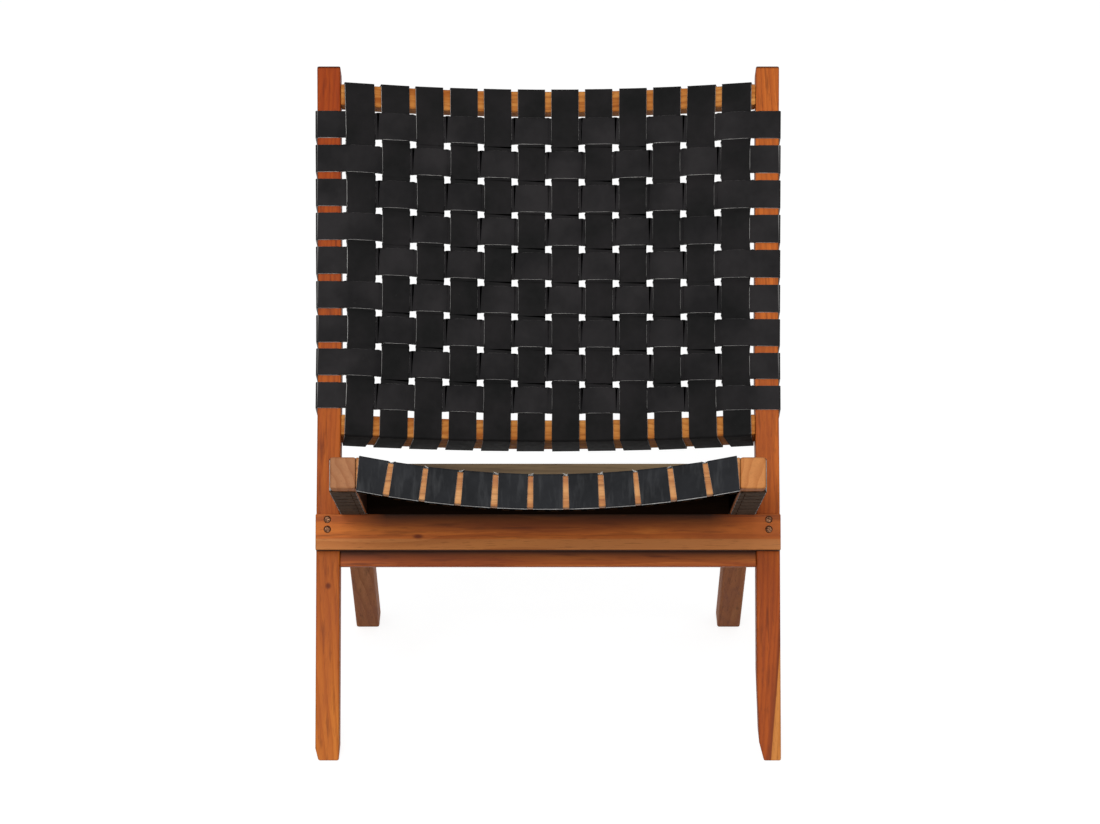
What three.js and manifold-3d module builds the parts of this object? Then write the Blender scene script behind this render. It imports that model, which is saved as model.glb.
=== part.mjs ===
// Folding lounge chair: two crossing hardwood frames carry a seat and a back woven from flat leather
// straps. The wide frame is the back, whose posts run down to the front feet. The narrow frame is the seat,
// whose side rails run down to the rear feet. Both frames turn on two shoulder screws where they cross.
// Units are millimetres. +Z is up, the front faces -Y, and the chair stands on Z = 0.
import * as THREE from 'three';
import { mergeVertices } from 'three/addons/utils/BufferGeometryUtils.js';
import Module from 'manifold-3d';

const wasm = await Module();
wasm.setup();

// Fits shared by all pieces
const seat_gap = 0.3; // between pieces that touch
const mortise_gap = 0.3; // round a tenon or a shank
const overrun = 4; // how far a cutter reaches past what it cuts

// Back frame posts
const overall_width = 590;
const post_width = 30;
const post_depth = 48;
const lower_post_lean = THREE.MathUtils.degToRad(23.5);
const upper_post_lean = THREE.MathUtils.degToRad(30);
const post_overhang = 24.5; // of the posts above the top rail of the back
const post_bend_radius = 200; // on the back face
const post_end_ease = 3; // bevel on the two edges of the top end
const foot_taper_depth = 8; // hand-cut taper on the inner face of the right foot
const foot_taper_height = 90;
const foot_corner_depth = 4; // knocked-off outer corner of the left foot
const foot_corner_height = 14;

// Rails of the back frame, placed along the posts
const cross_rail_top = 312; // above the floor, along the front face
const cross_rail_height = 46;
const cross_rail_thickness = 22;
const stretcher_lap = 7; // how far it reaches up behind the cross rail
const stretcher_height = 26;
const stretcher_thickness = 16;
const stretcher_inset = 2; // behind the front face of the posts
const stop_rail_top = 58; // above the bend, along the posts
const stop_rail_thickness = 22;
const back_low_rail_bottom = 86.5; // above the bend, along the posts
const back_low_rail_height = 26;
const back_low_rail_depth = 45;
const back_top_rail_height = 28;
const back_top_rail_depth = 26;
const back_bow = 36; // how far the middle of both back rails lies behind their ends

// Seat frame, placed from the pivot
const side_play = 4; // between the two frames on each side, filled by a washer
const seat_rail_width = 31;
const seat_rail_depth = 38;
const seat_reach = 405; // from the pivot to the front end
const rear_leg_lean = THREE.MathUtils.degToRad(38.5); // slope of the rear legs below the horizontal
const seat_bend_radius = 120; // on the underside
const seat_front_rail_thickness = 26;
const seat_rear_rail_thickness = 26;
const seat_rear_rail_lift = 4.5; // above the underside of the side rails, for the straps round it
const seat_rear_rail_setback = 23; // from the pivot to the back of the rear rail
const seat_dip = 23; // how far the middle of the front rail lies below its ends

// Tenons of the rails
const tenon_length = 14;
const tenon_shoulder = 6; // wood left on the narrow sides of a tenon
const tenon_cheek = 7; // wood left on the wide sides of a tenon
const thin_tenon_cheek = 4;

// Leather straps
const back_strap_gap = 8.6; // between two upright straps
const back_row_gap = 9.15; // between two level straps
const strap_thickness = 2.2;
const strap_crossing_gap = 0.4; // between two straps that cross
const back_side_margin = 4.7; // from a post to the first upright strap
const seat_side_margin = 3.5; // from a side rail to the first lengthwise strap
const strap_tail = 20; // length tacked behind or under a rail
const seat_tail_margin = 1.5; // from a cross strap's end to the inner edge of a side rail
const back_upright_count = 12;
const back_level_count = 9;
const seat_long_count = 11;
const seat_cross_count = 7;

// Pivot screws and washers
const pivot_head_radius = 8.5;
const pivot_head_height = 5;
const pivot_head_recess = 6;
const pivot_shoulder_radius = 5;
const pivot_thread_radius = 4;
const pivot_thread_length = 18;
const pivot_socket_radius = 3; // hexagon socket, across the corners
const pivot_socket_depth = 3;
const washer_radius = 11;

// Screws of the front cross rail
const rail_screw_drops = { upper: 7, lower: 19.5 }; // below the top edge of the rail
const rail_screw_head_radius = 4.5;
const rail_screw_head_height = 2.4;
const rail_screw_shank_radius = 2.2;
const rail_screw_length = 40;
const rail_screw_recess = 2;
const round_steps = 24;
const screw_steps = 12;
const dome_steps = 3;
const bend_steps = 3;

// Sizes that follow from the ones above
const inner_width = overall_width - 2 * post_width;
const seat_frame_width = inner_width - 2 * side_play;
const seat_inner_width = seat_frame_width - 2 * seat_rail_width;
const seat_cross_tail = seat_rail_width - seat_tail_margin;
const seat_rear_rail_depth = seat_rail_depth - seat_rear_rail_lift;
const bend_height = cross_rail_top + seat_gap + seat_rail_depth / 2;
const stretcher_top = cross_rail_top - cross_rail_height + stretcher_lap;
const stretcher_bottom = stretcher_top - stretcher_height;
const stretcher_back = stretcher_inset + stretcher_thickness;
const strap_gaps = (back_upright_count - 1) * back_strap_gap;
const strap_width = (inner_width - 2 * back_side_margin - strap_gaps) / back_upright_count;
const back_low_rail_top = back_low_rail_bottom + back_low_rail_height;
const back_rows_height = back_level_count * (strap_width + back_row_gap);
const back_top_rail_bottom = back_low_rail_top + back_row_gap + back_rows_height;
const back_top_rail_top = back_top_rail_bottom + back_top_rail_height;
const upper_post_length = back_top_rail_top + post_overhang; // on the front face, from the bend

// Materials
const teak = new THREE.MeshStandardMaterial({ color: '#a4592b', roughness: 0.5, metalness: 0 });
const leather = new THREE.MeshStandardMaterial({ color: '#1e1c1d', roughness: 0.55, metalness: 0 });
const steel = new THREE.MeshStandardMaterial({ color: '#6d675f', roughness: 0.4, metalness: 0.9 });

// Directions and places in the side view, where x is the depth (+Y) and y is the height (+Z)
const along = (angle) => new THREE.Vector2(Math.cos(angle), Math.sin(angle));
const lower_up = along(Math.PI / 2 - lower_post_lean);
const lower_back = along(-lower_post_lean);
const upper_up = along(Math.PI / 2 - upper_post_lean);
const upper_back = along(-upper_post_lean);
const leg_down = along(-rear_leg_lean);
const leg_normal = along(Math.PI / 2 - rear_leg_lean);
const place = (origin, dirA, a, dirB, b) => origin.clone().addScaledVector(dirA, a).addScaledVector(dirB, b);
const lowerPoint = (back, up) => place(new THREE.Vector2(), lower_back, back, lower_up, up);
const bend_point = lowerPoint(0, bend_height);
const upperPoint = (back, up) => place(bend_point, upper_back, back, upper_up, up);
const pivot_point = lowerPoint(post_depth / 2, bend_height);
const seatPoint = (rear, up) => place(pivot_point, lower_back, rear, lower_up, up);
const legPoint = (down, up) => place(pivot_point, leg_down, down, leg_normal, up);

// The point where the line through p along dirP meets the line through q along dirQ
function meet(p, dirP, q, dirQ) {
  const share = q.clone().sub(p).cross(dirQ) / dirP.cross(dirQ);
  return p.clone().addScaledVector(dirP, share);
}

// The points of an arc that rounds the corner between two lines
function roundCorner(corner, dirIn, dirOut, radius) {
  const turn = Math.asin(dirIn.cross(dirOut));
  const start = corner.clone().addScaledVector(dirIn, -radius * Math.tan(Math.abs(turn) / 2));
  const side = new THREE.Vector2(-dirIn.y, dirIn.x).multiplyScalar(Math.sign(turn));
  const centre = start.clone().addScaledVector(side, radius);
  const points = [];
  for (let step = 0; step <= bend_steps; step += 1) {
    points.push(start.clone().rotateAround(centre, (turn * step) / bend_steps));
  }
  return points;
}

// A side-view outline, extruded across the chair from x0 to x1
function sidePrism(outline, x0, x1) {
  const shape = new THREE.Shape(outline);
  const geometry = new THREE.ExtrudeGeometry(shape, { depth: x1 - x0, bevelEnabled: false });
  const turn = new THREE.Matrix4().makeBasis(
    new THREE.Vector3(0, 1, 0),
    new THREE.Vector3(0, 0, 1),
    new THREE.Vector3(1, 0, 0),
  );
  return geometry.applyMatrix4(turn).translate(x0, 0, 0);
}

// A box given by its least and greatest corners
function boxBetween(x0, x1, y0, y1, z0, z1) {
  const geometry = new THREE.BoxGeometry(x1 - x0, y1 - y0, z1 - z0);
  return geometry.translate((x0 + x1) / 2, (y0 + y1) / 2, (z0 + z1) / 2);
}

// A turned piece about the X axis; the profile lists [radius, place along X], from left to right
function turned(profile, steps) {
  const points = profile.map(([radius, x]) => new THREE.Vector2(radius, x));
  return new THREE.LatheGeometry(points, steps).rotateZ(-Math.PI / 2);
}

// Joins and cuts of closed solids
function solid(geometry) {
  const bare = new THREE.BufferGeometry().setAttribute('position', geometry.attributes.position.clone());
  bare.setIndex(geometry.index);
  const merged = mergeVertices(bare);
  const mesh = new wasm.Mesh({
    numProp: 3,
    vertProperties: new Float32Array(merged.attributes.position.array),
    triVerts: new Uint32Array(merged.index.array),
  });
  return new wasm.Manifold(mesh);
}

function fromSolid(manifold) {
  const mesh = manifold.getMesh();
  const geometry = new THREE.BufferGeometry();
  geometry.setAttribute('position', new THREE.BufferAttribute(mesh.vertProperties, 3));
  geometry.setIndex(new THREE.BufferAttribute(mesh.triVerts, 1));
  return geometry;
}

function join(geometry, parts) {
  return fromSolid(parts.reduce((sum, part) => sum.add(solid(part)), solid(geometry)));
}

function cut(geometry, parts) {
  return fromSolid(parts.reduce((rest, part) => rest.subtract(solid(part)), solid(geometry)));
}

function trim(geometry, part) {
  return fromSolid(solid(geometry).intersect(solid(part)));
}

// Adds a named piece to a group
function addPiece(group, name, geometry, material) {
  const mesh = new THREE.Mesh(geometry, material.clone());
  mesh.name = name;
  group.add(mesh);
  return mesh;
}

// Groups: the lower posts, the upper posts and the seat frame each have their own axes, with Y backwards
const chair = new THREE.Group();
const lower_group = new THREE.Group();
lower_group.rotation.x = -lower_post_lean;
const upper_group = new THREE.Group();
upper_group.position.set(0, bend_point.x, bend_point.y);
upper_group.rotation.x = -upper_post_lean;
const seat_group = new THREE.Group();
seat_group.position.set(0, pivot_point.x, pivot_point.y);
seat_group.rotation.x = -lower_post_lean;
chair.add(lower_group, upper_group, seat_group);

// A curved pair of rails: a strap's edges lie on chords of the curve, so a strap lies flat on a facet
function strapCentres(count, span, margin) {
  const pitch = (span - 2 * margin - strap_width) / (count - 1);
  return Array.from({ length: count }, (_, index) => -span / 2 + margin + strap_width / 2 + index * pitch);
}

function bowAt(x, span, bow) {
  return bow * (1 - (2 * x / span) ** 2);
}

// The facet corners of a bowed rail in its plan, from left to right
function bowCorners(centres, span, bow) {
  const places = centres.flatMap((centre) => [centre - strap_width / 2, centre + strap_width / 2]);
  const ends = span / 2 + overrun;
  return [-ends, ...places, ends].map((x) => new THREE.Vector2(x, bowAt(x, span, bow)));
}

// A line of points moved sideways by an equal distance, with mitred corners
function offsetLine(points, distance) {
  return points.map((point, index) => {
    const before = point.clone().sub(points[Math.max(index - 1, 0)]);
    const after = points[Math.min(index + 1, points.length - 1)].clone().sub(point);
    const dirA = (before.lengthSq() > 0 ? before : after.clone()).normalize();
    const dirB = (after.lengthSq() > 0 ? after : before.clone()).normalize();
    const mean = dirA.clone().add(dirB).normalize();
    const reach = distance / mean.dot(dirA);
    return point.clone().add(new THREE.Vector2(-mean.y, mean.x).multiplyScalar(reach));
  });
}

// A bowed rail with a stub tenon at each end; its plan lies in XY and its height along Z
function bowedRail(corners, span, depth, z0, z1) {
  const plan = new THREE.Shape([...corners, ...offsetLine(corners, depth).reverse()]);
  const bar = new THREE.ExtrudeGeometry(plan, { depth: z1 - z0, bevelEnabled: false });
  const end = span / 2 - seat_gap;
  const furthest = 2 * span;
  const slab = boxBetween(-end, end, -furthest, furthest, -furthest, furthest);
  const body = trim(bar.translate(0, 0, z0), slab);
  return join(body, railTenons(span, tenon_cheek, depth - tenon_cheek, z0, z1, 0, tenon_shoulder));
}

// The two tenons of a rail that spans a gap, or with room the two mortises that take them
function railTenons(span, y0, y1, z0, z1, room, shoulder) {
  const tip = span / 2 + tenon_length + room;
  const root = span / 2 - overrun;
  const low = z0 + shoulder - room;
  const high = z1 - shoulder + room;
  return [[-tip, -root], [root, tip]].map(([x0, x1]) => boxBetween(x0, x1, y0 - room, y1 + room, low, high));
}

// Places a cutter that was made in a group's axes into the chair's axes
function toChair(geometry, group) {
  group.updateMatrix();
  return geometry.applyMatrix4(group.matrix);
}

// Posts: one bent plank each, with mortises for the rails and a stepped bore for the pivot screw
function postOutline() {
  const foot_back = meet(lowerPoint(post_depth, 0), lower_up, new THREE.Vector2(), new THREE.Vector2(1, 0));
  const back_corner = meet(lowerPoint(post_depth, 0), lower_up, upperPoint(post_depth, 0), upper_up);
  const front_bend = roundCorner(bend_point, lower_up, upper_up, post_bend_radius + post_depth);
  const back_bend = roundCorner(back_corner, lower_up, upper_up, post_bend_radius);
  const top = [
    upperPoint(0, upper_post_length - post_end_ease),
    upperPoint(post_end_ease, upper_post_length),
    upperPoint(post_depth - post_end_ease, upper_post_length),
    upperPoint(post_depth, upper_post_length - post_end_ease),
  ];
  return [new THREE.Vector2(), foot_back, ...back_bend, ...top.reverse(), ...front_bend.reverse()];
}

function postMortises() {
  const back_span = inner_width;
  const cheek = tenon_cheek;
  const low_back = back_low_rail_depth - cheek;
  const top_back = back_top_rail_depth - cheek;
  const room = mortise_gap;
  const side = tenon_shoulder;
  const [low_z0, low_z1] = [back_low_rail_bottom, back_low_rail_top];
  const [top_z0, top_z1] = [back_top_rail_bottom, back_top_rail_top];
  const low = railTenons(back_span, cheek, low_back, low_z0, low_z1, room, side);
  const high = railTenons(back_span, cheek, top_back, top_z0, top_z1, room, side);
  const front = stretcher_inset + thin_tenon_cheek;
  const rear = stretcher_back - thin_tenon_cheek;
  const stretcher = railTenons(back_span, front, rear, stretcher_bottom, stretcher_top, room, side);
  return [
    ...[...low, ...high].map((cutter) => toChair(cutter, upper_group)),
    ...stretcher.map((cutter) => toChair(cutter, lower_group)),
  ];
}

// The bore and the head recess of a pivot screw, for the side where sign is -1 (left) or 1 (right)
function pivotBores(sign) {
  const outer = overall_width / 2;
  const bore_radius = pivot_shoulder_radius + mortise_gap;
  const recess_radius = pivot_head_radius + mortise_gap;
  const bore = turned([[0, -outer], [bore_radius, -outer], [bore_radius, 0], [0, 0]], round_steps);
  const recess_end = -outer + pivot_head_recess;
  const recess_profile = [
    [0, -outer - overrun],
    [recess_radius, -outer - overrun],
    [recess_radius, recess_end],
    [0, recess_end],
  ];
  const recess = turned(recess_profile, round_steps);
  return [bore, recess].map((cutter) => {
    if (sign > 0) cutter.rotateZ(Math.PI);
    return cutter.translate(0, pivot_point.x, pivot_point.y);
  });
}

// The blind holes that take the points of the cross rail's screws
function railScrewHoles(sign, from, to) {
  const radius = rail_screw_shank_radius + mortise_gap;
  return Object.values(rail_screw_drops).map((drop) => {
    const profile = [[0, from], [radius, from], [radius, to], [0, to]];
    const hole = turned(profile, screw_steps).rotateZ(Math.PI / 2);
    return hole.translate((sign * (overall_width - post_width)) / 2, 0, cross_rail_top - drop);
  });
}

// A wedge that takes depth off a post at the floor and nothing at height, from the side where x is face
function footWedge(face, depth, height) {
  const shape = new THREE.Shape([
    new THREE.Vector2(face, height),
    new THREE.Vector2(face - overrun, height),
    new THREE.Vector2(face - overrun, -overrun),
    new THREE.Vector2(face + (depth * (height + overrun)) / height, -overrun),
  ]);
  const reach = 2 * post_depth;
  const wedge = new THREE.ExtrudeGeometry(shape, { depth: 2 * reach, bevelEnabled: false });
  return wedge.rotateX(Math.PI / 2).translate(0, reach, 0);
}

function makePosts() {
  const left_corner = footWedge(-overall_width / 2, foot_corner_depth, foot_corner_height);
  const right_taper = footWedge(inner_width / 2, foot_taper_depth, foot_taper_height);
  for (const [name, sign, foot_cut] of [['post_left', -1, left_corner], ['post_right', 1, right_taper]]) {
    const x = (sign * (overall_width - post_width)) / 2;
    const plank = sidePrism(postOutline(), x - post_width / 2, x + post_width / 2);
    const hole_end = rail_screw_length - rail_screw_head_height;
    const holes = railScrewHoles(sign, -overrun, hole_end).map((hole) => toChair(hole, lower_group));
    const cutters = [...postMortises(), ...pivotBores(sign), ...holes, foot_cut];
    addPiece(chair, name, cut(plank, cutters), teak);
  }
}

// Rails of the back frame
function makeBackRails() {
  const centres = strapCentres(back_upright_count, inner_width, back_side_margin);
  const corners = bowCorners(centres, inner_width, back_bow);
  const [low_z0, low_z1] = [back_low_rail_bottom, back_low_rail_top];
  const [top_z0, top_z1] = [back_top_rail_bottom, back_top_rail_top];
  const low = bowedRail(corners, inner_width, back_low_rail_depth, low_z0, low_z1);
  const high = bowedRail(corners, inner_width, back_top_rail_depth, top_z0, top_z1);
  addPiece(upper_group, 'back_low_rail', low, teak);
  addPiece(upper_group, 'back_top_rail', high, teak);
}

function makeFrontCrossRail() {
  const half = overall_width / 2;
  const back = -seat_gap;
  const front = back - cross_rail_thickness;
  const plank = boxBetween(-half, half, front, back, cross_rail_top - cross_rail_height, cross_rail_top);
  const recess_radius = rail_screw_head_radius + mortise_gap;
  const recesses = [-1, 1].flatMap((sign) => Object.values(rail_screw_drops).map((drop) => {
    const profile = [[0, front - overrun], [recess_radius, front - overrun],
      [recess_radius, front + rail_screw_recess], [0, front + rail_screw_recess]];
    const recess = turned(profile, screw_steps).rotateZ(Math.PI / 2);
    return recess.translate((sign * (overall_width - post_width)) / 2, 0, cross_rail_top - drop);
  }));
  const bores = [-1, 1].flatMap((sign) => railScrewHoles(sign, front - overrun, overrun));
  addPiece(lower_group, 'front_cross_rail', cut(plank, [...recesses, ...bores]), teak);
}

function makeLowerStretcher() {
  const half = inner_width / 2 - seat_gap;
  const front = stretcher_inset + thin_tenon_cheek;
  const rear = stretcher_back - thin_tenon_cheek;
  const [z0, z1] = [stretcher_bottom, stretcher_top];
  const bar = boxBetween(-half, half, stretcher_inset, stretcher_back, z0, z1);
  const tenons = railTenons(inner_width, front, rear, z0, z1, 0, tenon_shoulder);
  addPiece(lower_group, 'lower_stretcher', join(bar, tenons), teak);
}

// The stop rail crosses the back faces of the posts; its lower edge is planed to sit on the rear legs
function makeStopRail() {
  const front = post_depth + seat_gap;
  const back = front + stop_rail_thickness;
  const leg_top = legPoint(0, seat_rail_depth / 2 + seat_gap);
  const outline = [
    meet(upperPoint(front, 0), upper_up, leg_top, leg_down),
    meet(upperPoint(back, 0), upper_up, leg_top, leg_down),
    upperPoint(back, stop_rail_top),
    upperPoint(front, stop_rail_top),
  ];
  addPiece(chair, 'stop_rail', sidePrism(outline, -overall_width / 2, overall_width / 2), teak);
}

// Seat frame, in axes turned with the seat: Y runs backwards from the pivot and Z is square to the seat
const seat_front = -seat_reach;
const seat_front_back = seat_front + seat_front_rail_thickness;
const seat_rear_back = -seat_rear_rail_setback;
const seat_rear_front = seat_rear_back - seat_rear_rail_thickness;
const seat_top = seat_rail_depth / 2;
const seat_long_centres = strapCentres(seat_long_count, seat_inner_width, seat_side_margin);

function seatSideOutline() {
  const half = seat_rail_depth / 2;
  const floor = new THREE.Vector2();
  const level = new THREE.Vector2(1, 0);
  const under_corner = meet(seatPoint(0, -half), lower_back, legPoint(0, -half), leg_down);
  const top_corner = meet(seatPoint(0, half), lower_back, legPoint(0, half), leg_down);
  return [
    seatPoint(seat_front, -half),
    ...roundCorner(under_corner, lower_back, leg_down, seat_bend_radius),
    meet(legPoint(0, -half), leg_down, floor, level),
    meet(legPoint(0, half), leg_down, floor, level),
    ...roundCorner(top_corner, lower_back, leg_down, seat_bend_radius + seat_rail_depth).reverse(),
    seatPoint(seat_front, half),
  ];
}

// The seat's bowed front rail is made in plan and then turned to sag downwards
function sagging(geometry) {
  return geometry.rotateX(-Math.PI / 2).translate(0, 0, seat_top);
}

// The tenons of the seat's rear rail, or with room the mortises of it and of the front rail
function seatTenons(y0, y1, depth, room) {
  const far = depth - tenon_cheek;
  const parts = railTenons(seat_inner_width, tenon_cheek, far, y0, y1, room, tenon_shoulder);
  return parts.map(sagging);
}

function makeSeatSides() {
  for (const [name, sign] of [['seat_side_left', -1], ['seat_side_right', 1]]) {
    const x = (sign * (seat_frame_width - seat_rail_width)) / 2;
    const plank = sidePrism(seatSideOutline(), x - seat_rail_width / 2, x + seat_rail_width / 2);
    const outer = seat_frame_width / 2;
    const depth = pivot_thread_length + mortise_gap;
    const radius = pivot_thread_radius + mortise_gap;
    const profile = [
      [0, -outer - overrun],
      [radius, -outer - overrun],
      [radius, -outer + depth],
      [0, -outer + depth],
    ];
    const bore = turned(profile, round_steps);
    if (sign > 0) bore.rotateZ(Math.PI);
    bore.translate(0, pivot_point.x, pivot_point.y);
    const mortises = [
      ...seatTenons(seat_front, seat_front_back, seat_rail_depth, mortise_gap),
      ...seatTenons(seat_rear_front, seat_rear_back, seat_rear_rail_depth, mortise_gap),
    ];
    const cutters = [bore, ...mortises.map((cutter) => toChair(cutter, seat_group))];
    addPiece(chair, name, cut(plank, cutters), teak);
  }
}

function makeSeatRails() {
  const corners = bowCorners(seat_long_centres, seat_inner_width, seat_dip);
  const front = bowedRail(corners, seat_inner_width, seat_rail_depth, seat_front, seat_front_back);
  addPiece(seat_group, 'seat_front_rail', sagging(front), teak);
  const half = seat_inner_width / 2 - seat_gap;
  const floor = seat_top - seat_rear_rail_depth;
  const bar = boxBetween(-half, half, seat_rear_front, seat_rear_back, floor, seat_top);
  const tenons = seatTenons(seat_rear_front, seat_rear_back, seat_rear_rail_depth, 0);
  addPiece(seat_group, 'seat_rear_rail', join(bar, tenons), teak);
}

// Straps: each is one closed band of four-cornered sections, over and under the straps that it crosses.
// A band is worked out in a plan where x runs across, y is the depth below the face of the rails, and z
// runs along the posts or the seat. The bow share is 1 where the rails are bowed and 0 where straight.
const under_level = -(seat_gap + strap_thickness / 2);
const weave_step = strap_thickness + strap_crossing_gap;
const over_level = under_level - weave_step;

// A closed band through sections of four points; a and b are the two edges, each with its two faces.
// All bands split their quads along the same diagonal, so twisted faces stay parallel where they cross.
function band(sections, mirrored) {
  const points = sections.flatMap(({ a, b }) => [a[0], b[0], b[1], a[1]]);
  const index = [];
  const quad = (p, q, r, s) => index.push(p, q, r, p, r, s);
  for (let step = 0; step + 1 < sections.length; step += 1) {
    const here = 4 * step;
    const next = here + 4;
    quad(here, here + 1, next + 1, next);
    quad(here + 1, here + 2, next + 2, next + 1);
    quad(here + 3, next + 3, next + 2, here + 2);
    quad(here + 3, here, next, next + 3);
  }
  const last = 4 * (sections.length - 1);
  quad(3, 2, 1, 0);
  quad(last, last + 1, last + 2, last + 3);
  if (mirrored) index.reverse();
  const geometry = new THREE.BufferGeometry().setFromPoints(points);
  geometry.setIndex(index);
  return geometry;
}

// The two faces of a band along a path of [along, depth] points
function faces(path) {
  const points = path.map(([run, depth]) => new THREE.Vector2(run, depth));
  return [offsetLine(points, -strap_thickness / 2), offsetLine(points, strap_thickness / 2)];
}

// One end of a strap laid round a rail: over its face, round its outer edge and a tail behind it
function wrapPath(edge, outward, depth, tail) {
  const clear = seat_gap + strap_thickness / 2;
  const outer = edge + outward * clear;
  return [
    [outer, under_level],
    [outer, depth + clear],
    [edge - outward * tail, depth + clear],
  ];
}

// The chord of the rails' curve under a strap: its two edge points, its run and the way into the depth
function chord(centre, span, bow) {
  const [left, right] = [centre - strap_width / 2, centre + strap_width / 2]
    .map((x) => new THREE.Vector2(x, bowAt(x, span, bow)));
  const run = right.clone().sub(left).normalize();
  return { left, right, run, inward: new THREE.Vector2(-run.y, run.x) };
}

// A strap that runs along z, from one rail to the other. The wraps fan out behind the curve, so the
// outermost straps are trimmed along the side members.
function runningStrap(centre, span, path, bowShareAt, bow) {
  const [front, back] = faces(path);
  const sections = path.map(([z], index) => {
    const { left, right, run, inward } = chord(centre, span, bow * bowShareAt(z));
    const limit = span / 2 - seat_gap;
    const at = (edge, face) => {
      const spot = edge.clone().addScaledVector(inward, face[index].y);
      spot.addScaledVector(run, (THREE.MathUtils.clamp(spot.x, -limit, limit) - spot.x) / run.x);
      return new THREE.Vector3(spot.x, spot.y, face[index].x);
    };
    return { a: [at(left, front), at(left, back)], b: [at(right, front), at(right, back)] };
  });
  return band(sections, false);
}

// A strap that runs along x, across all the running straps and round the two side members
function crossingStrap(z, centres, span, levels, ends, bowShareAt, bow) {
  const edges = [z - strap_width / 2, z + strap_width / 2].map((edge_z) => {
    const path = centres.flatMap((centre, index) => {
      const { left, right, inward } = chord(centre, span, bow * bowShareAt(edge_z));
      return [left, right].map((edge) => {
        const spot = edge.clone().addScaledVector(inward, levels[index]);
        return [spot.x, spot.y];
      });
    });
    const whole = [...ends.left, ...path, ...ends.right];
    const [front, back] = faces(whole);
    const inSpace = (spot) => new THREE.Vector3(spot.x, spot.y, edge_z);
    return front.map((point, index) => [inSpace(point), inSpace(back[index])]);
  });
  const [low, high] = edges;
  return band(low.map((pair, index) => ({ a: pair, b: high[index] })), true);
}

// The level of a strap where it crosses another: they change places at each crossing
const runningLevel = (column, row) => ((column + row) % 2 === 0 ? over_level : under_level);
const crossingLevel = (column, row) => ((column + row) % 2 === 0 ? under_level : over_level);

// The ends of a crossing strap: over a side member, round its outer side and a tail behind it
function sideEnds(inner, outer, depth, tail) {
  const right = [[inner + seat_gap, under_level], ...wrapPath(outer, 1, depth, tail)];
  const left = right.map(([x, y]) => [-x, y]).reverse();
  return { left, right };
}

// The rows of crossing straps, with equal gaps between two rails
function rowCentres(count, from, to) {
  const gap = (to - from - count * strap_width) / (count + 1);
  return Array.from({ length: count }, (_, row) => from + gap + strap_width / 2 + row * (strap_width + gap));
}

// The edges of the rows under and over which a running strap passes; numberOf gives a row's own number
function crossingStations(rows, column, numberOf) {
  return rows.flatMap((z, row) => {
    const level = runningLevel(column, numberOf(row));
    return [[z - strap_width / 2, level], [z + strap_width / 2, level]];
  });
}

const numbered = (name, index) => `${name}_${String(index + 1).padStart(2, '0')}`;

// Back straps: rows are counted from the top, and the first upright passes over the top row
function makeBackStraps() {
  const centres = strapCentres(back_upright_count, inner_width, back_side_margin);
  const rows = rowCentres(back_level_count, back_low_rail_top, back_top_rail_bottom);
  const row_from_top = (row) => rows.length - 1 - row;
  const bowed = () => 1;
  centres.forEach((centre, column) => {
    const stations = crossingStations(rows, column, row_from_top);
    const low_end = wrapPath(back_low_rail_bottom, -1, back_low_rail_depth, strap_tail).reverse();
    const high_end = wrapPath(back_top_rail_top, 1, back_top_rail_depth, strap_tail);
    const path = [...low_end, ...stations, ...high_end];
    const strap = runningStrap(centre, inner_width, path, bowed, back_bow);
    addPiece(upper_group, numbered('back_upright_strap', column), strap, leather);
  });
  const ends = sideEnds(inner_width / 2, overall_width / 2, post_depth, strap_tail);
  rows.forEach((z, row) => {
    const levels = centres.map((_, column) => crossingLevel(column, row_from_top(row)));
    const strap = crossingStrap(z, centres, inner_width, levels, ends, bowed, back_bow);
    addPiece(upper_group, numbered('back_level_strap', row_from_top(row)), strap, leather);
  });
}

// Seat straps: the dip of the front rail fades to nothing at the straight rear rail
function makeSeatStraps() {
  const centres = seat_long_centres;
  const rows = rowCentres(seat_cross_count, seat_front_back, seat_rear_front);
  const dip_length = seat_rear_front - seat_front_back;
  const dipShare = (z) => THREE.MathUtils.clamp((seat_rear_front - z) / dip_length, 0, 1);
  const front_wrap = wrapPath(seat_front, -1, seat_rail_depth, strap_tail).reverse();
  const rear_wrap = wrapPath(seat_rear_back, 1, seat_rear_rail_depth, strap_tail);
  const front_end = [...front_wrap, [seat_front_back, under_level]];
  const rear_end = [[seat_rear_front, under_level], ...rear_wrap];
  centres.forEach((centre, column) => {
    const path = [...front_end, ...crossingStations(rows, column, (row) => row), ...rear_end];
    const strap = runningStrap(centre, seat_inner_width, path, dipShare, seat_dip);
    addPiece(seat_group, numbered('seat_long_strap', column), sagging(strap), leather);
  });
  const tail = seat_cross_tail;
  const ends = sideEnds(seat_inner_width / 2, seat_frame_width / 2, seat_rail_depth, tail);
  rows.forEach((z, row) => {
    const levels = centres.map((_, column) => crossingLevel(column, row));
    const strap = crossingStrap(z, centres, seat_inner_width, levels, ends, dipShare, seat_dip);
    addPiece(seat_group, numbered('seat_cross_strap', row), sagging(strap), leather);
  });
}

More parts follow.
